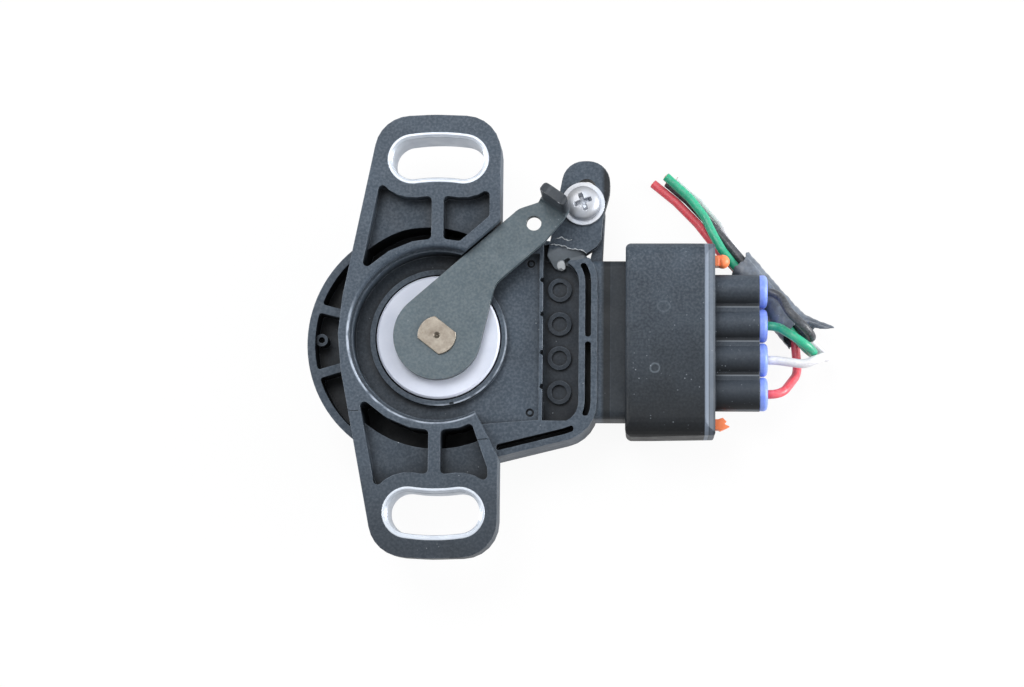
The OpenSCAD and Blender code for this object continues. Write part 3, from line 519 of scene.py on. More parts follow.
FINISHES = {
    # Stippled by the mould, so it is a dull blue black with a fine grain, greyer where dust lies or an edge
    # rubs, with painted shade in its hollows. Below that lie painted shade on the lower ear and the neck.
    # Above it lie the broken foot, its chip, a painted highlight on the panel's lip, painted shade in the
    # well, and painted highlights on the rims of the guard ring and the collar.
    "housing": Finish(
        "glass-filled nylon, spark-eroded mould", Make.MOULDED, "#353f4a", "#3e4955", worn="#848e9a",
        rough=0.56, gloss=0.25, wear=0.5, mottle=0.16, painted_hollow_shade="#14171b",
        under=(Band("#101215", 0.58, 1, -15.0, -34.0), Band("#0d0f11", 0.9, 0, 25.9, 26.5, 27.5),
               Band("#1a1d20", 0.8, 0, 27.4, 27.6)),
        over=(Spot("#8d959c", 0.55, (19.9, 13.5, -7.95), (3.6, 2.6, 1.35)),
              Spot("#e3e8ec", 0.9, (19.5, 12.2, -8.0), (0.75, 0.9, 0.9)),
              Spot("#d2deee", 0.85, (16.56, -1.0, -5.6), (0.16, 13.5, 0.3)),
              Spot("#15161a", 0.45, (20.2, -2.5, -9.0), (3.4, 13.0, 2.2)),
              RimHighlight(RIM_HIGHLIGHT, 0.85, 14.05, 0.24, -0.8, (-0.64, -0.77, 0.0), 0.25),
              RimHighlight(RIM_HIGHLIGHT, 0.7, 10.9, 0.16, -4.7, (0.77, -0.64, 0.0), 0.45))),
    # Plain moulded black, a little lighter than the housing because it has no glass
    "rear_cover": Finish("moulded nylon cover", Make.MOULDED, "#39414a", "#434c56", wear=0.3),
    # Phosphate crystals make it a matt green grey with a faint sheen. Its tab is worn dark and chipped.
    "lever": Finish(
        "phosphated steel sheet, stamped", Make.COATED, "#424e55", "#4c585f", worn="#a6a8a4", metallic=0.25,
        rough=0.46, gloss=0.3, grain_mm=0.5, wear=0.4, specks=0.12, edge_mm=0.12, mottle=0.08,
        under=(Band("#232329", 0.75, 2, -1.6, 0.4),),
        over=(Spot("#b9bcc4", 0.7, (19.3, 19.4, 6.9), (0.5, 0.45, 0.5)),
              Spot("#a3a5ac", 0.5, (20.0, 18.5, 3.0), (0.5, 0.5, 1.3)),
              Spot("#7c7d84", 0.5, (16.2, 21.3, 6.8), (0.9, 0.8, 1.0)))),
    # Nickel has a warm shine, here dulled and stained brown in patches
    "shaft": Finish(
        "nickel-plated steel shaft", Make.PLATED, "#7a746b", "#6a6259", worn="#aea89f", dust="#6f6250",
        metallic=0.85, rough=0.42, patch_mm=1.6, grain_mm=0.25, wear=0.6, specks=0.4),
    # Unfilled nylon is milky and smooth, with a soft shine
    "return_rotor": Finish(
        "natural white nylon, moulded smooth", Make.MOULDED, "#cfd5e4", "#c4cbdc", worn="#e6e9ef",
        dust="#9a9fa8", rough=0.42, grain_depth=0.06, wear=0.1, specks=0.1, mottle=0.05),
    # Dulled zinc scatters most light, so it is pale grey with wide soft highlights and dark pits
    "upper_sleeve": Finish(
        "zinc-plated steel sleeve", Make.PLATED, "#b9c0ca", "#a8b0bb", worn="#dfe3e8", dust="#5c6067",
        metallic=0.5, rough=0.45, grain_mm=0.6, grain_depth=0.12, wear=0.3, specks=0.5, mottle=0.05),
    # The same zinc, stained brown in places and brighter where it is rubbed
    "stop_washer": Finish(
        "zinc-plated washer", Make.PLATED, "#abb2be", "#9d9c9c", worn="#dcdfe3", metallic=0.6, rough=0.46,
        grain_mm=0.3, grain_depth=0.12, wear=0.3, specks=0.2, edge_mm=0.1, mottle=0.08),
    # Cleaner zinc, because it sits behind the arm
    "stop_nut": Finish(
        "zinc-plated nut, cold formed", Make.PLATED, "#c4c8cd", "#b2b7be", worn="#eceef0", metallic=0.9,
        rough=0.38, grain_mm=0.4, edge_mm=0.12, specks=0.2, mottle=0.05),
    # Dark steel with an oily sheen
    "shaft_clip": Finish(
        "phosphated spring steel clip", Make.COATED, "#4d5054", "#5b5e62", metallic=0.8, rough=0.45,
        specks=0.1),
    # Drawing leaves the wire bright and even
    "return_spring": Finish(
        "drawn spring wire", Make.PLATED, "#a8adb2", "#8f949a", metallic=1.0, rough=0.3, **UNTOUCHED),
    # Pressed powder is open and oily, so its brown shine is broken up
    "shaft_bush": Finish(
        "sintered bronze", Make.PLATED, "#a5824f", "#8c6b3e", metallic=0.9, rough=0.5, grain_mm=0.15,
        specks=0.0),
    # Matt black rubber
    "shaft_seal": Finish("nitrile rubber", Make.CAST_RUBBER, "#2a2c2e", "#35383a", rough=0.6, **UNTOUCHED),
    # Resin over woven glass has a clear shine
    "resistor_board": Finish(
        "green epoxy laminate", Make.MOULDED, "#2f6b4a", "#275a3f", rough=0.35, specks=0.0, wear=0.1),
    # Tin turns the brass a pale straw
    "header_terminals": Finish(
        "tinned brass strip", Make.PLATED, "#cbbf95", "#b8a976", metallic=1.0, rough=0.3, specks=0.0),
    # Waxy off-white with a soft shine
    "brush_holder": Finish("natural acetal", Make.MOULDED, "#d9d3c4", "#cdc6b4", rough=0.4, **UNTOUCHED),
    # Rolled strip is golden and bright
    "brushes": Finish(
        "spring bronze strip", Make.PLATED, "#cfa557", "#b98e44", metallic=1.0, rough=0.3, **UNTOUCHED),
    # A coarser stipple than the housing's, under grey road dust, with painted shade in its hollows. Below
    # that lie painted shade on its lower side, painted highlights on its end flange and past it, and painted
    # shade with a painted highlight line on each barrel. Above it lie a painted highlight on the end edge
    # and two moulding marks.
    "plug_shell": Finish(
        "glass-filled polyester, dusty", Make.MOULDED, "#2f3842", "#3d4752", worn="#7d858e", dust="#929aa3",
        rough=0.52, gloss=0.2, patch_mm=5.0, grain_mm=0.45, grain_depth=0.22, edge_mm=0.3, wear=0.3,
        specks=0.8, mottle=0.2, painted_hollow_shade="#1f2226",
        under=(Band("#060708", 0.95, 1, 12.0, -15.0), Band("#8894a5", 0.6, 0, 42.45, 42.6, 43.15),
               Band("#6b7684", 0.5, 0, 43.15, 43.3, 43.9), Band("#4a525d", 0.4, 0, 43.5, 43.9),
               PaintedBarrelLight("#0b0c0e", 0.8, PITCH, 44.4, 0.62, 0.18),
               PaintedBarrelLight("#8b939c", 0.55, PITCH, 44.4, 0.055, 0.02)),
        over=(Spot("#a3b3cd", 0.85, (44.05, 0.0, -4.3), (0.2, 12.5, 0.4)),
              Spot("#7c8791", 0.35, (34.6, -4.8, -4.2), (0.85, 0.85, 0.6), 0.8),
              Spot("#7c8791", 0.18, (36.0, 5.1, -4.2), (1.1, 1.0, 0.6), 0.85))),
    # Bright unfilled plastic with a soft shine
    "plug_retainer": Finish(
        "orange moulded polyester", Make.MOULDED, "#fb8a56", "#f07c48", worn="#ffb08a", dust="#8a6a5a",
        rough=0.4, specks=0.3, wear=0.4, edge_mm=0.12),
    # Even blue, neither shiny nor matt
    "plug_gasket": Finish(
        "blue silicone gasket", Make.CAST_RUBBER, "#3f6fae", "#37639c", rough=0.5, **UNTOUCHED),
    # Tin over brass, bright where it was stamped
    "plug_contacts": Finish(
        "tinned brass contacts", Make.PLATED, "#c9b36a", "#b39c55", metallic=1.0, rough=0.3, **UNTOUCHED),
    # Silicone has a greasy shine, and its round edges catch the light
    "wire_seals": Finish(
        "blue-violet silicone seal", Make.CAST_RUBBER, "#7f99ee", "#6b85e4", worn="#b4c4fa", dust="#c9cff2",
        rough=0.42, patch_mm=2.0, wear=0.45, specks=0.2, edge_mm=0.3),
    "wire_black": vinyl("black", "#2b2d31", "#363940", 0.38, 0.2),
    "wire_green": vinyl("green", "#1fa880", "#189470", 0.36, 0.1),
    "wire_white": vinyl("white", "#e9e9ec", "#dcdce2", 0.40, 0.15),
    "wire_red": vinyl("red", "#e2545f", "#d2434f", 0.36, 0.1),
    # Handling has creased it and left it grey and dusty, with a shine on the creases
    "torn_sleeve": Finish(
        "vinyl tubing, cut and frayed", Make.EXTRUDED, "#4a515b", "#636c78", worn="#8f98a4", dust="#a9b0ba",
        rough=0.36, patch_mm=2.2, grain_mm=0.7, grain_depth=0.5, wear=0.3, specks=0.6, edge_mm=0.1),
    # Pulled fibres scatter light, so the break is nearly white
    "fracture": Finish(
        "nylon whitened by stress", Make.MOULDED, "#b3bac0", "#8d959c", worn="#d5dade", rough=0.6,
        patch_mm=0.9, specks=0.0, wear=0.3, edge_mm=0.05),
    # Freshly cut, so it is bright and red
    "copper": Finish(
        "bare copper strands", Make.PLATED, "#c47a4e", "#a8623a", metallic=1.0, rough=0.35, edge_mm=0.05,
        **UNTOUCHED),
}
SAME_FINISH = {"lower_sleeve": "upper_sleeve", "stop_screw": "stop_washer"}


# Meshes


def sheet_faces(rows: int, cols: int, wrap: bool) -> np.ndarray:
    """Lists the quads of a grid of points.

    Args:
        rows: Points along the first way.
        cols: Points along the second way.
        wrap: Whether the second way closes on itself.

    Returns:
        Four point numbers a face.
    """
    i, j = np.meshgrid(np.arange(rows - 1), np.arange(cols if wrap else cols - 1), indexing="ij")
    k = (j + 1) % cols
    quads = np.stack([i * cols + j, i * cols + k, (i + 1) * cols + k, (i + 1) * cols + j], axis=-1)
    return quads.reshape(-1, 4)


def surface(name: str, points: np.ndarray, wrap: bool = False, caps: bool = False) -> bpy.types.Object:
    """Makes an object from a grid of points in millimetres.

    Args:
        name: Name of the object.
        points: Array of rows by columns by three.
        wrap: Whether each row closes on itself.
        caps: Whether the first and last rows are closed by a face each.

    Returns:
        The new object, in metres, with smooth shading.
    """
    rows, cols = points.shape[:2]
    faces = sheet_faces(rows, cols, wrap).tolist()
    if caps:
        faces += [list(range(cols))[::-1], list(range((rows - 1) * cols, rows * cols))]
    mesh = bpy.data.meshes.new(name)
    mesh.from_pydata((points.reshape(-1, 3) * MM).tolist(), [], faces)
    mesh.polygons.foreach_set("use_smooth", np.ones(len(faces), dtype=bool))
    mesh.update()
    made = bpy.data.objects.new(name, mesh)
    bpy.context.scene.collection.objects.link(made)
    return made


def joined(parts: list[bpy.types.Object], name: str) -> bpy.types.Object:
    """Joins objects into the first of them.

    Args:
        parts: Objects to join.
        name: Name of the whole.

    Returns:
        The first object, which holds all the meshes.
    """
    with bpy.context.temp_override(active_object=parts[0], selected_editable_objects=parts):
        bpy.ops.object.join()
    parts[0].name = name
    return parts[0]


def dress(piece: bpy.types.Object, finish: str) -> bpy.types.Object:
    """Gives a piece one finish in place of all it had.

    Args:
        piece: Object to dress.
        finish: Key of the finish.

    Returns:
        The same object.
    """
    key = SAME_FINISH.get(finish, finish)
    made = bpy.data.materials.get(FINISHES[key].name) or FINISHES[key].build()
    piece.data.materials.clear()
    piece.data.materials.append(made)
    return piece


# Wires

# Least turn in degrees that is rounded, and most degrees between an arc's points
LEAST_TURN = 4
ARC_STEP = 8


def sleeve_at(side: int, level: int, s: float) -> np.ndarray:
    """Finds a wire's place in the sleeve, or on its line beyond the mouth.

    Args:
        side: Plus one on the sleeve's right, minus one on its left.
        level: Plus one for the upper pair, minus one for the lower.
        s: Distance along the sleeve from its mouth.

    Returns:
        The point.
    """
    return SLEEVE_FROM + s * SLEEVE_RUN + (WIRE_D / 2 + 0.01) * (side * SLEEVE_RIGHT + [0, 0, level])


def bend(a: np.ndarray, b: np.ndarray, c: np.ndarray) -> np.ndarray:
    """Rounds the corner at b: an arc of the bend radius that touches both legs.

    Args:
        a: Point before the corner.
        b: Corner.
        c: Point after the corner.

    Returns:
        Points of the arc, or the corner itself where it hardly turns.
    """
    u, v = unit(a - b), unit(c - b)
    turn = math.pi - math.acos(float(np.clip(u @ v, -1, 1)))
    if turn < math.radians(LEAST_TURN):
        return b[None]
    half = (math.pi - turn) / 2
    mid = b + unit(u + v) * BEND_R / math.sin(half)
    out = unit(b + u * BEND_R / math.tan(half) - mid)
    t = np.linspace(0, turn, max(3, math.ceil(math.degrees(turn) / ARC_STEP)))[:, None]
    return mid + BEND_R * (np.cos(t) * out - np.sin(t) * u)


def trail(t: float, u: float, z: float) -> np.ndarray:
    """Finds a place beyond the sleeve's far end.

    Args:
        t: Distance from that end along the sleeve's run.
        u: Distance to the right of the run.
        z: Level.

    Returns:
        The point.
    """
    return np.array([*(SLEEVE_TO + t * SLEEVE_RUN + u * SLEEVE_RIGHT)[:2], z])


@dataclass
class Wire:
    """One cut wire, from its seal through the sleeve to its end on the table.

    Attributes:
        node: CAD node that it stands for.
        row: Number of its seal, from the lowest.
        side: Side of the sleeve that it lies on.
        level: Level of the sleeve that it lies on.
        out: Corners between the seal and the fold.
        fold: Distance of the fold beyond the sleeve's mouth, negative.
        folds: Whether it comes over and folds back, or only turns in.
        back: Corners between the sleeve and the cut end, along and aside of its run.
        path: Points of its centreline, once they are worked out.
    """

    node: str
    row: int
    side: int
    level: int
    out: list[tuple[float, float, float]]
    fold: float
    folds: bool
    back: list[tuple[float, float, float]]
    path: np.ndarray = field(default_factory=lambda: np.zeros((0, 3)))

    def corners(self) -> list[np.ndarray]:
        """Lists the route's corners, as part.scad has them.

        Returns:
            Corners in millimetres, from the seal to the cut end.
        """
        y = (self.row - 1.5) * PITCH
        pts = [np.array([SEAL_END - 0.55, y, TERMINAL_Z]), *(np.array(p, float) for p in self.out)]
        turn_in = sleeve_at(self.side, self.level, self.fold)
        if self.folds:
            pts.append(turn_in + [0, 0, 2 * BEND_R + 0.4])
        turn_out = sleeve_at(self.side, self.level, SLEEVE_LENGTH + 0.1)
        return [*pts, turn_in, turn_out, *(trail(*p) for p in self.back)]

    def make(self) -> bpy.types.Object:
        """Makes the wire as a round curve along its rounded route.

        Returns:
            The curve object.
        """
        pts = self.corners()
        arcs = [bend(pts[i - 1], pts[i], pts[i + 1]) for i in range(1, len(pts) - 1)]
        self.path = np.concatenate([pts[0][None], *arcs, pts[-1][None]])
        curve = bpy.data.curves.new(self.node + "_insulation", "CURVE")
        curve.dimensions = "3D"
        curve.bevel_depth = WIRE_D / 2 * MM
        curve.bevel_resolution = 6
        curve.use_fill_caps = True
        line = curve.splines.new("POLY")
        line.points.add(len(self.path) - 1)
        line.points.foreach_set("co", np.c_[self.path * MM, np.ones(len(self.path))].ravel())
        line.use_smooth = True
        made = bpy.data.objects.new(self.node + "_insulation", curve)
        bpy.context.scene.collection.objects.link(made)
        return dress(made, self.node)

    def length(self) -> float:
        """Gives the route's length in metres."""
        return float(np.linalg.norm(np.diff(self.path, axis=0), axis=1).sum()) * MM


WIRES = [
    Wire("wire_black", 3, 1, 1, [(54.5, 8.3, -10.6), (56.1, 4.8, -8.5)], -3.9, True,
         [(3.4, 0.8, -14.9), (8.4, 0.95, LAY), (13.5, 0.7, LAY), (18, 0, LAY)]),
    Wire("wire_green", 2, -1, 1, [(54.2, 2.8, -10.6), (56.6, 1, -8.4)], -6, True,
         [(3.2, -0.7, -14.2), (6.2, -0.1, -14.5), (9.3, 0.8, UPON), (13.3, 1, UPON), (18.7, 0.35, UPON)]),
    Wire("wire_white", 1, 1, -1, [(54.2, -2.8, -10.6), (58.6, -3.5, -9.9)], -7.8, True,
         [(3, 1.3, LAY), (7, 2.45, LAY), (12.5, 2.4, LAY), (17.4, 1.6, LAY)]),
    Wire("wire_red", 0, -1, -1, [(55, -8.3, -10.6), (57.9, -4.4, -15.6)], -1.9, False,
         [(3.4, -0.85, LAY), (9.5, -0.6, LAY), (14.5, -0.95, LAY), (19.4, -1.85, LAY)]),
]


@dataclass
class CutEnds:
    """Copper strands that show at the four cut ends.

    Attributes:
        strand_r: Radius of a strand.
        stand_out: How far the strands stand out of the insulation.
    """

    strand_r: float = 0.16
    stand_out: float = 0.12

    def make(self, wires: list[Wire]) -> bpy.types.Object:
        """Makes seven strands a wire, one in the middle and six round it, each cut to a length of its own.

        Args:
            wires: Wires whose routes are worked out.

        Returns:
            One object with all the strands.
        """
        parts = []
        ring = np.linspace(0, 2 * np.pi, 9)[:-1]
        for number, wire in enumerate(wires):
            end, along = wire.path[-1], unit(wire.path[-1] - wire.path[-2])
            side = unit(np.cross(along, [0, 0, 1]))
            up = np.cross(side, along)
            for k in range(7):
                a = k * np.pi / 3 + 0.4 * number
                off = (0 if k == 6 else 2.05 * self.strand_r) * (np.cos(a) * side + np.sin(a) * up)
                reach = self.stand_out * (0.55 + 0.45 * abs(math.sin(3.7 * k + number)))
                circle = self.strand_r * (np.cos(ring)[:, None] * side + np.sin(ring)[:, None] * up)
                rows = [end + off + along * s + circle * q
                        for s, q in ((-0.3, 1), (reach - 0.04, 1), (reach, 0.75))]
                parts.append(surface(f"strand_{number}_{k}", np.array(rows), wrap=True, caps=True))
        return dress(joined(parts, "cut_copper_strands"), "copper")


@dataclass
class TornSleeve:
    """Vinyl tubing over the wires, creased along its length and torn at its mouth.

    Attributes:
        half_width: Half width, a little flattened.
        half_height: Half height, so that it rests on the table.
        flat: Depth below the axis at which the table flattens it.
        wall: Thickness of the vinyl.
        flap_at: Angle round the axis at which the torn flap stands.
        flap_half: Half the angle that the flap takes up.
        flap_out: How far the flap reaches past the mouth.
        lip_out: How far the mouth's underside reaches past its top.
        rows: Points along it.
        cols: Points round it.
    """

    half_width: float = 2.35
    half_height: float = 1.98
    flat: float = 1.88
    wall: float = 0.16
    flap_at: float = 0.3
    flap_half: float = 0.5
    flap_out: float = 4.4
    lip_out: float = 2.5
    rows: int = 90
    cols: int = 128

    def make(self) -> bpy.types.Object:
        """Makes the tube and its torn mouth.

        Each point is a place s along the axis and an angle t round it. The mouth's edge stands at a distance
        that varies with the angle: back on top, where the wires drop in, further out below and far out on
        the flap, which also leans away from the axis and curls. The wall is pushed in and out by creases
        that run along it and by short wrinkles across it.

        Returns:
            The sleeve's object, with a thin wall.
        """
        t = np.linspace(0, 2 * np.pi, self.cols, endpoint=False)[None]
        u = np.linspace(0, 1, self.rows)[:, None]
        flap = np.exp(-((np.angle(np.exp(1j * (t - self.flap_at))) / self.flap_half) ** 4))
        ragged = 0.22 * np.sin(5 * t + 1) + 0.16 * np.sin(11 * t) + 0.1 * np.sin(23 * t + 2)
        under = 0.5 - 0.5 * np.tanh(2.2 * (np.sin(t) - 0.15))
        mouth = -0.4 + ragged - self.lip_out * under * (1 - flap) - self.flap_out * flap
        tail = SLEEVE_LENGTH - 0.35 + 0.55 * np.cos(t) + 0.2 * np.sin(4 * t) + 0.08 * np.sin(13 * t + 1)
        s = mouth + (tail - mouth) * u ** 1.15
        out = np.clip(-s, 0, None)
        crease = 0.10 * np.cos(3 * t + 0.5) + 0.34 * np.maximum(0, np.cos(t - 1.05)) ** 60
        wrinkle = 0.05 * np.sin(2.1 * s + 3 * np.sin(t)) * np.sin(2 * t + 0.4 * s)
        wrinkle = wrinkle + 0.03 * np.sin(5.3 * s + 5 * t)
        grow = 1 + 0.12 * np.exp(-np.clip(s, 0, None) / 3)
        x = (self.half_width * grow + crease + wrinkle) * np.cos(t)
        z = (self.half_height + 0.5 * (crease + wrinkle)) * np.sin(t)
        z = np.maximum(z, -self.flat)
        curl = np.sin(0.9 * out + 1.3 * (t - self.flap_at)) * 0.45 * out / (out + 2)
        x = x + flap * (0.30 * out + 0.03 * out ** 2)
        z = z + flap * (0.42 * out + curl)
        pts = SLEEVE_FROM + s[..., None] * SLEEVE_RUN + x[..., None] * SLEEVE_RIGHT
        pts[..., 2] += z
        made = surface("torn_wire_sleeve", pts, wrap=True)
        wall = made.modifiers.new("wall", "SOLIDIFY")
        wall.thickness = self.wall * MM
        wall.offset = -1
        return dress(made, "torn_sleeve")


@dataclass
class StopScrew:
    """Pan-head screw with a cross recess and a rolled thread.

    Attributes:
        head_r: Radius of the head.
        head_h: Height of the head.
        rim_h: Height of the head's rim.
        shank_r: Outer radius of the thread.
        shank: Length below the head.
        pitch: Thread pitch.
        thread_depth: Depth of the thread.
        recess_turn: Turn of the cross, in radians.
        wing_half: Half the width of a wing of the cross.
        wing_reach: How far a wing reaches from the middle.
        wing_depth: Depth of a wing at the middle.
        wing_wall: Width over which a wing's side goes down.
        wing_ramp: Length over which a wing's end goes down.
        wing_slope: Rise of a wing's floor for each millimetre outwards.
    """

    head_r: float = 2.75
    head_h: float = 1.9
    rim_h: float = 0.55
    shank_r: float = 1.5
    shank: float = 6.2
    pitch: float = 0.5
    thread_depth: float = 0.24
    recess_turn: float = 0.35
    wing_half: float = 0.36
    wing_reach: float = 1.5
    wing_depth: float = 1.25
    wing_wall: float = 0.07
    wing_ramp: float = 0.55
    wing_slope: float = 0.25

    def recess(self, x: np.ndarray, y: np.ndarray) -> np.ndarray:
        """Gives the depth of the cross recess.

        Each wing is a slot whose floor slopes up to its end, and the two wings are laid over each other.

        Args:
            x: Places across the head.
            y: Places across the head, square to x.

        Returns:
            Depths below the head's top.
        """
        c, s = math.cos(self.recess_turn), math.sin(self.recess_turn)
        p, q = np.abs(c * x + s * y), np.abs(-s * x + c * y)

        def wing(along: np.ndarray, aside: np.ndarray) -> np.ndarray:
            """Gives one wing's depth.

            Args:
                along: Distances from the middle along the wing.
                aside: Distances from its middle line.

            Returns:
                Depths below the head's top.
            """
            width = np.clip((self.wing_half - aside) / self.wing_wall, 0, 1)
            reach = np.clip((self.wing_reach - along) / self.wing_ramp, 0, 1)
            return width * reach * (self.wing_depth - self.wing_slope * along)

        return np.maximum(wing(p, q), wing(q, p))

    def make(self) -> bpy.types.Object:
        """Makes the screw by turning a profile: tip, thread, underside, pan head.

        The thread's radius falls and rises once a pitch as the angle goes round. The head is a flattened
        dome, whose height falls with a power of the distance from the middle, less the recess.

        Returns:
            The screw's object.
        """
        t = np.linspace(0, 2 * np.pi, 144, endpoint=False)[None]
        z = np.linspace(-self.shank, -0.15, 150)[:, None]
        saw = np.abs(((z / self.pitch - t / (2 * np.pi)) % 1) - 0.5) * 2
        chamfer = np.clip((z + self.shank) / 0.4, 0, 1)
        thread = (self.shank_r - self.thread_depth * saw) * (0.78 + 0.22 * chamfer)
        # The head's underside, as shares of its radius and the heights that round it off
        under = np.array([0.58, 0.85, 0.97, 1.0])[:, None] * self.head_r
        rise = np.array([0.0, 0.0, 0.03, 0.16])[:, None]
        rho = np.linspace(1, 0, 70)[:, None]
        dome = self.rim_h + (self.head_h - self.rim_h) * np.sqrt(np.clip(1 - rho ** 3.2, 0, 1)) ** 1.2
        radius = np.concatenate([a + 0 * t for a in (0 * t, thread, under, self.head_r * rho)])
        height = np.concatenate([b + 0 * t for b in (0 * t - self.shank, z, rise, dome)])
        x, y = radius * np.cos(t), radius * np.sin(t)
        height = np.where(height > 0.5, height - self.recess(x, y), height)
        pts = np.stack([x, y, height], axis=-1) + SCREW_AT
        return dress(surface("stop_screw_threaded", pts, wrap=True), "stop_screw")


@dataclass
class FractureLines:
    """Stress-whitened fibres that stand along the stop arm's broken foot and along its crack.

    Attributes:
        runs: Points in plan of each line, as part.scad has them.
        level: Height of the arm's front, which they stand on.
        half_width: Half the width of a line.
        height: How far it stands up.
        step: Distance between its sections.
    """

    runs: tuple[tuple[tuple[float, float], ...], ...] = (
        ((23.5, 13.95), (23.1, 14.45), (21.8, 14.7), (20.8, 14.75), (20.15, 15.15), (18.85, 15.4),
         (17.6, 15.5)),
        ((18.45, 16.33), (19.49, 16.67), (20.39, 16.12), (21.29, 16.21)))
    level: float = -6.6
    half_width: float = 0.11
    height: float = 0.07
    step: float = 0.09

    def line(self, name: str, run: tuple[tuple[float, float], ...]) -> bpy.types.Object:
        """Makes one line: a low ridge carried along the run, whose width and height waver on the way.

        Args:
            name: Name of the object.
            run: Points in plan.

        Returns:
            The line's object.
        """
        knots = np.array(run)
        far = np.r_[0, np.cumsum(np.linalg.norm(np.diff(knots, axis=0), axis=1))]
        s = np.arange(0, far[-1], self.step)
        mid = np.stack([np.interp(s, far, knots[:, k]) for k in (0, 1)], axis=-1)
        mid = mid + 0.05 * np.stack([np.sin(9 * s + 1), np.sin(7 * s)], axis=-1)
        along = np.gradient(mid, axis=0)
        along /= np.linalg.norm(along, axis=1, keepdims=True)
        aside = np.stack([-along[:, 1], along[:, 0]], axis=-1)
        taper = np.clip(np.minimum(s, far[-1] - s) / 0.4, 0.15, 1)
        width = self.half_width * taper * (0.75 + 0.4 * np.sin(5.3 * s) * np.sin(11 * s + 1))
        a = np.linspace(0, 2 * np.pi, 9)[:-1]
        plan = mid[:, None] + (width[:, None] * np.cos(a))[..., None] * aside[:, None]
        z = self.level + self.height * taper[:, None] * np.sin(a) * (1 + 0.3 * np.sin(13 * s)[:, None])
        return surface(name, np.concatenate([plan, z[..., None]], axis=-1), wrap=True, caps=True)

    def make(self) -> bpy.types.Object:
        """Makes all the lines as one piece."""
        parts = [self.line(f"fracture_{k}", run) for k, run in enumerate(self.runs)]
        return dress(joined(parts, "fracture_whitening"), "fracture")


# Stage


@dataclass(frozen=True)
class Lamp:
    """Square soft light that faces the part.

    Attributes:
        name: Name of the light.
        at: Place in metres.
        size: Side in metres.
        watts: Power.
        aim: Point in metres that it faces.
    """

    name: str
    at: tuple[float, float, float]
    size: float
    watts: float
    aim: tuple[float, float, float] = (0.015, 0.0, 0.0)

    def make(self) -> bpy.types.Object:
        """Makes the light.

        Returns:
            The light's object.
        """
        data = bpy.data.lights.new(self.name, "AREA")
        data.size, data.energy = self.size, self.watts
        made = bpy.data.objects.new(self.name, data)
        made.location = self.at
        made.rotation_euler = (Vector(self.aim) - Vector(self.at)).to_track_quat("-Z", "Y").to_euler()
        bpy.context.scene.collection.objects.link(made)
        return made


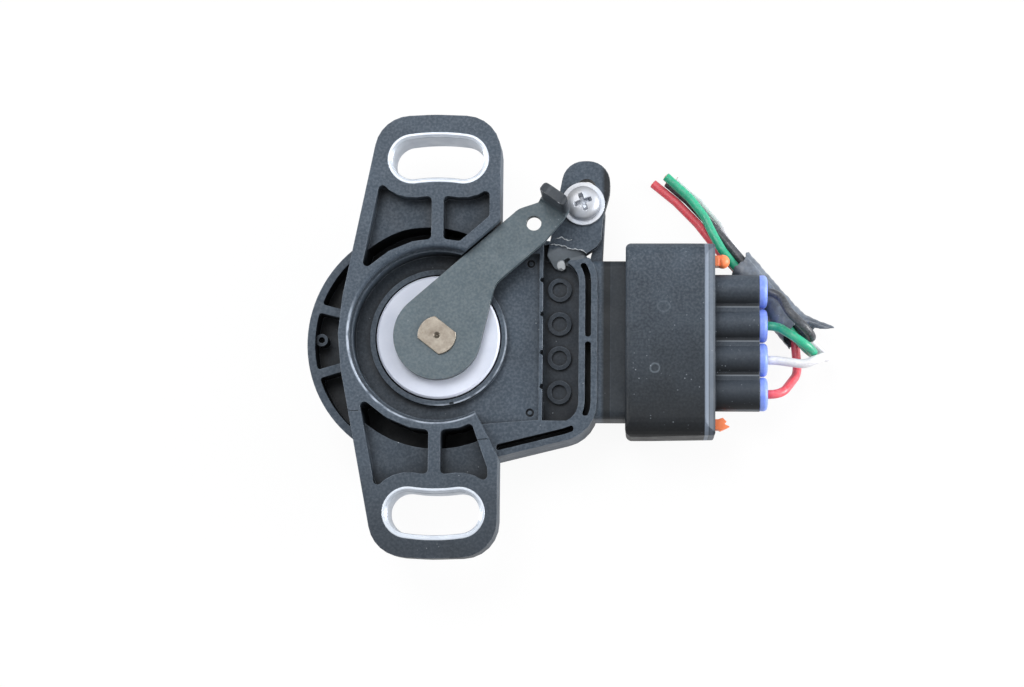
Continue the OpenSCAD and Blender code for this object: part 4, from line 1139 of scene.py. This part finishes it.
@dataclass
class Studio:
    """Pale table, soft lights and the camera above it.

    Attributes:
        camera_at: Place of the camera in millimetres.
        aim_at: Point that it looks at, on the mounting face.
        up: Way that is up in the picture, in the mounting face.
        focal: Focal length in millimetres.
        sensor: Width of the camera's sensor in millimetres.
        table_half: Half the table's side in millimetres.
        table_gap: Gap below the part, so that no faces coincide.
        table_glow: Share of the table that shows as white, the rest being paper that takes the shadow.
        sky: Brightness of the room as it lights the part.
        lamps: Soft lights, the near one overhead and low ones that catch the edges.
    """

    camera_at: tuple[float, float, float] = (33.55, -46.23, 349.59)
    aim_at: tuple[float, float, float] = (12.1, -1.52, 0.0)
    up: tuple[float, float, float] = (-0.01036, 0.99995, 0.0)
    focal: float = 78.72
    sensor: float = 36.0
    table_half: float = 2500.0
    table_gap: float = 0.02
    table_glow: float = 0.93
    sky: float = 0.34
    lamps: tuple[Lamp, ...] = (
        Lamp("softbox_overhead", (-0.10, 0.20, 0.45), 0.25, 1.5),
        Lamp("softbox_low_left", (-0.55, 0.05, 0.12), 0.25, 2.4),
        Lamp("softbox_right", (0.50, -0.05, 0.35), 0.3, 0.8),
        Lamp("softbox_low_right", (0.60, 0.05, 0.10), 0.25, 4.0),
        Lamp("softbox_top_right", (0.30, 0.45, 0.50), 0.4, 0.6))

    def camera(self) -> bpy.types.Object:
        """Makes the camera and makes it the scene's own.

        Returns:
            The camera's object.
        """
        data = bpy.data.cameras.new("photo_camera")
        data.lens, data.sensor_width, data.clip_start = self.focal, self.sensor, 0.01
        made = bpy.data.objects.new("photo_camera", data)
        back = (Vector(self.camera_at) - Vector(self.aim_at)).normalized()
        right = Vector(self.up).cross(back).normalized()
        turn = Matrix((right, back.cross(right), back)).transposed().to_4x4()
        made.matrix_world = Matrix.Translation(Vector(self.camera_at) * MM) @ turn
        bpy.context.scene.collection.objects.link(made)
        bpy.context.scene.camera = made
        return made

    def seen(self, tree: Tree) -> Socket:
        """Tells rays that show the background, directly, mirrored or through glass, from those that light.

        Args:
            tree: Node tree to work in.

        Returns:
            Output that is one for a ray that shows the background.
        """
        part = add(tree, "LightPath", {}, "Is Camera Ray")
        for kind in ("Is Glossy Ray", "Is Transmission Ray"):
            part = add(tree, "Math", {0: part, 1: add(tree, "LightPath", {}, kind)}, operation="MAXIMUM")
        return part

    def table(self) -> bpy.types.Object:
        """Makes the white table, which shows white to the camera but keeps the soft shadow.

        Returns:
            The table's object.
        """
        half, z = self.table_half, TABLE_Z - self.table_gap
        pts = np.array([[[-half, -half, z], [half, -half, z]], [[-half, half, z], [half, half, z]]])
        made = surface("table", pts)
        mat = bpy.data.materials.new("white paper table")
        mat.use_nodes = True
        tree = mat.node_tree
        tree.nodes.clear()
        paper = add(tree, "BsdfDiffuse", {"Color": srgb("#f4f4f5")})
        glow = add(tree, "Emission", {"Color": srgb("#ffffff"), "Strength": 1.0})
        part = add(tree, "Math", {0: self.seen(tree), 1: self.table_glow}, operation="MULTIPLY")
        add(tree, "OutputMaterial", {"Surface": add(tree, "MixShader", {0: part, 1: paper, 2: glow})})
        made.data.materials.append(mat)
        return made

    def world(self) -> None:
        """Makes the world white to the camera and softly bright to the object."""
        made = bpy.data.worlds.new("white room")
        made.use_nodes = True
        tree = made.node_tree
        tree.nodes.clear()
        level = add(tree, "MapRange", {0: self.seen(tree), 3: self.sky})
        white = add(tree, "Background", {"Color": srgb("#ffffff"), "Strength": level})
        add(tree, "OutputWorld", {"Surface": white})
        bpy.context.scene.world = made

    def build(self) -> None:
        """Builds the stage."""
        self.table()
        self.world()
        for lamp in self.lamps:
            lamp.make()


def main() -> None:
    """Builds the camera, the wires, the other pieces and the stage, and dresses the CAD nodes."""
    logging.basicConfig(level=logging.INFO, format="%(message)s")
    bpy.context.scene.view_settings.view_transform = "Standard"
    studio = Studio()
    studio.camera()
    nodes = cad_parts
    cords = [wire.make() for wire in WIRES]
    strands = CutEnds().make(WIRES)
    sleeve = TornSleeve().make()
    for wire, cord in zip(WIRES, cords):
        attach(cord, "root")
        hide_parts(wire.node)
        round(wire.length(), 4)
        log.info("%s: %.1f mm", cord.name, wire.length() / MM)
    for piece, slot, node in ((strands, "contact_brass", None), (sleeve, "sleeve_tape", "wire_sleeve"),
                              (StopScrew().make(), "zinc_hardware", "stop_screw"),
                              (FractureLines().make(), "black_housing_plastic", None)):
        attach(piece, "root")
        if node:
            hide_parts(node)
        log.info("%s: %s", piece.name, piece.data.materials[0].name)
    for name, obj in nodes.items():
        if name in FINISHES or name in SAME_FINISH:
            dress(obj, name)
            log.info("%s: %s", name, FINISHES[SAME_FINISH.get(name, name)].name)
    studio.build()


if __name__ == "__main__":
    main()
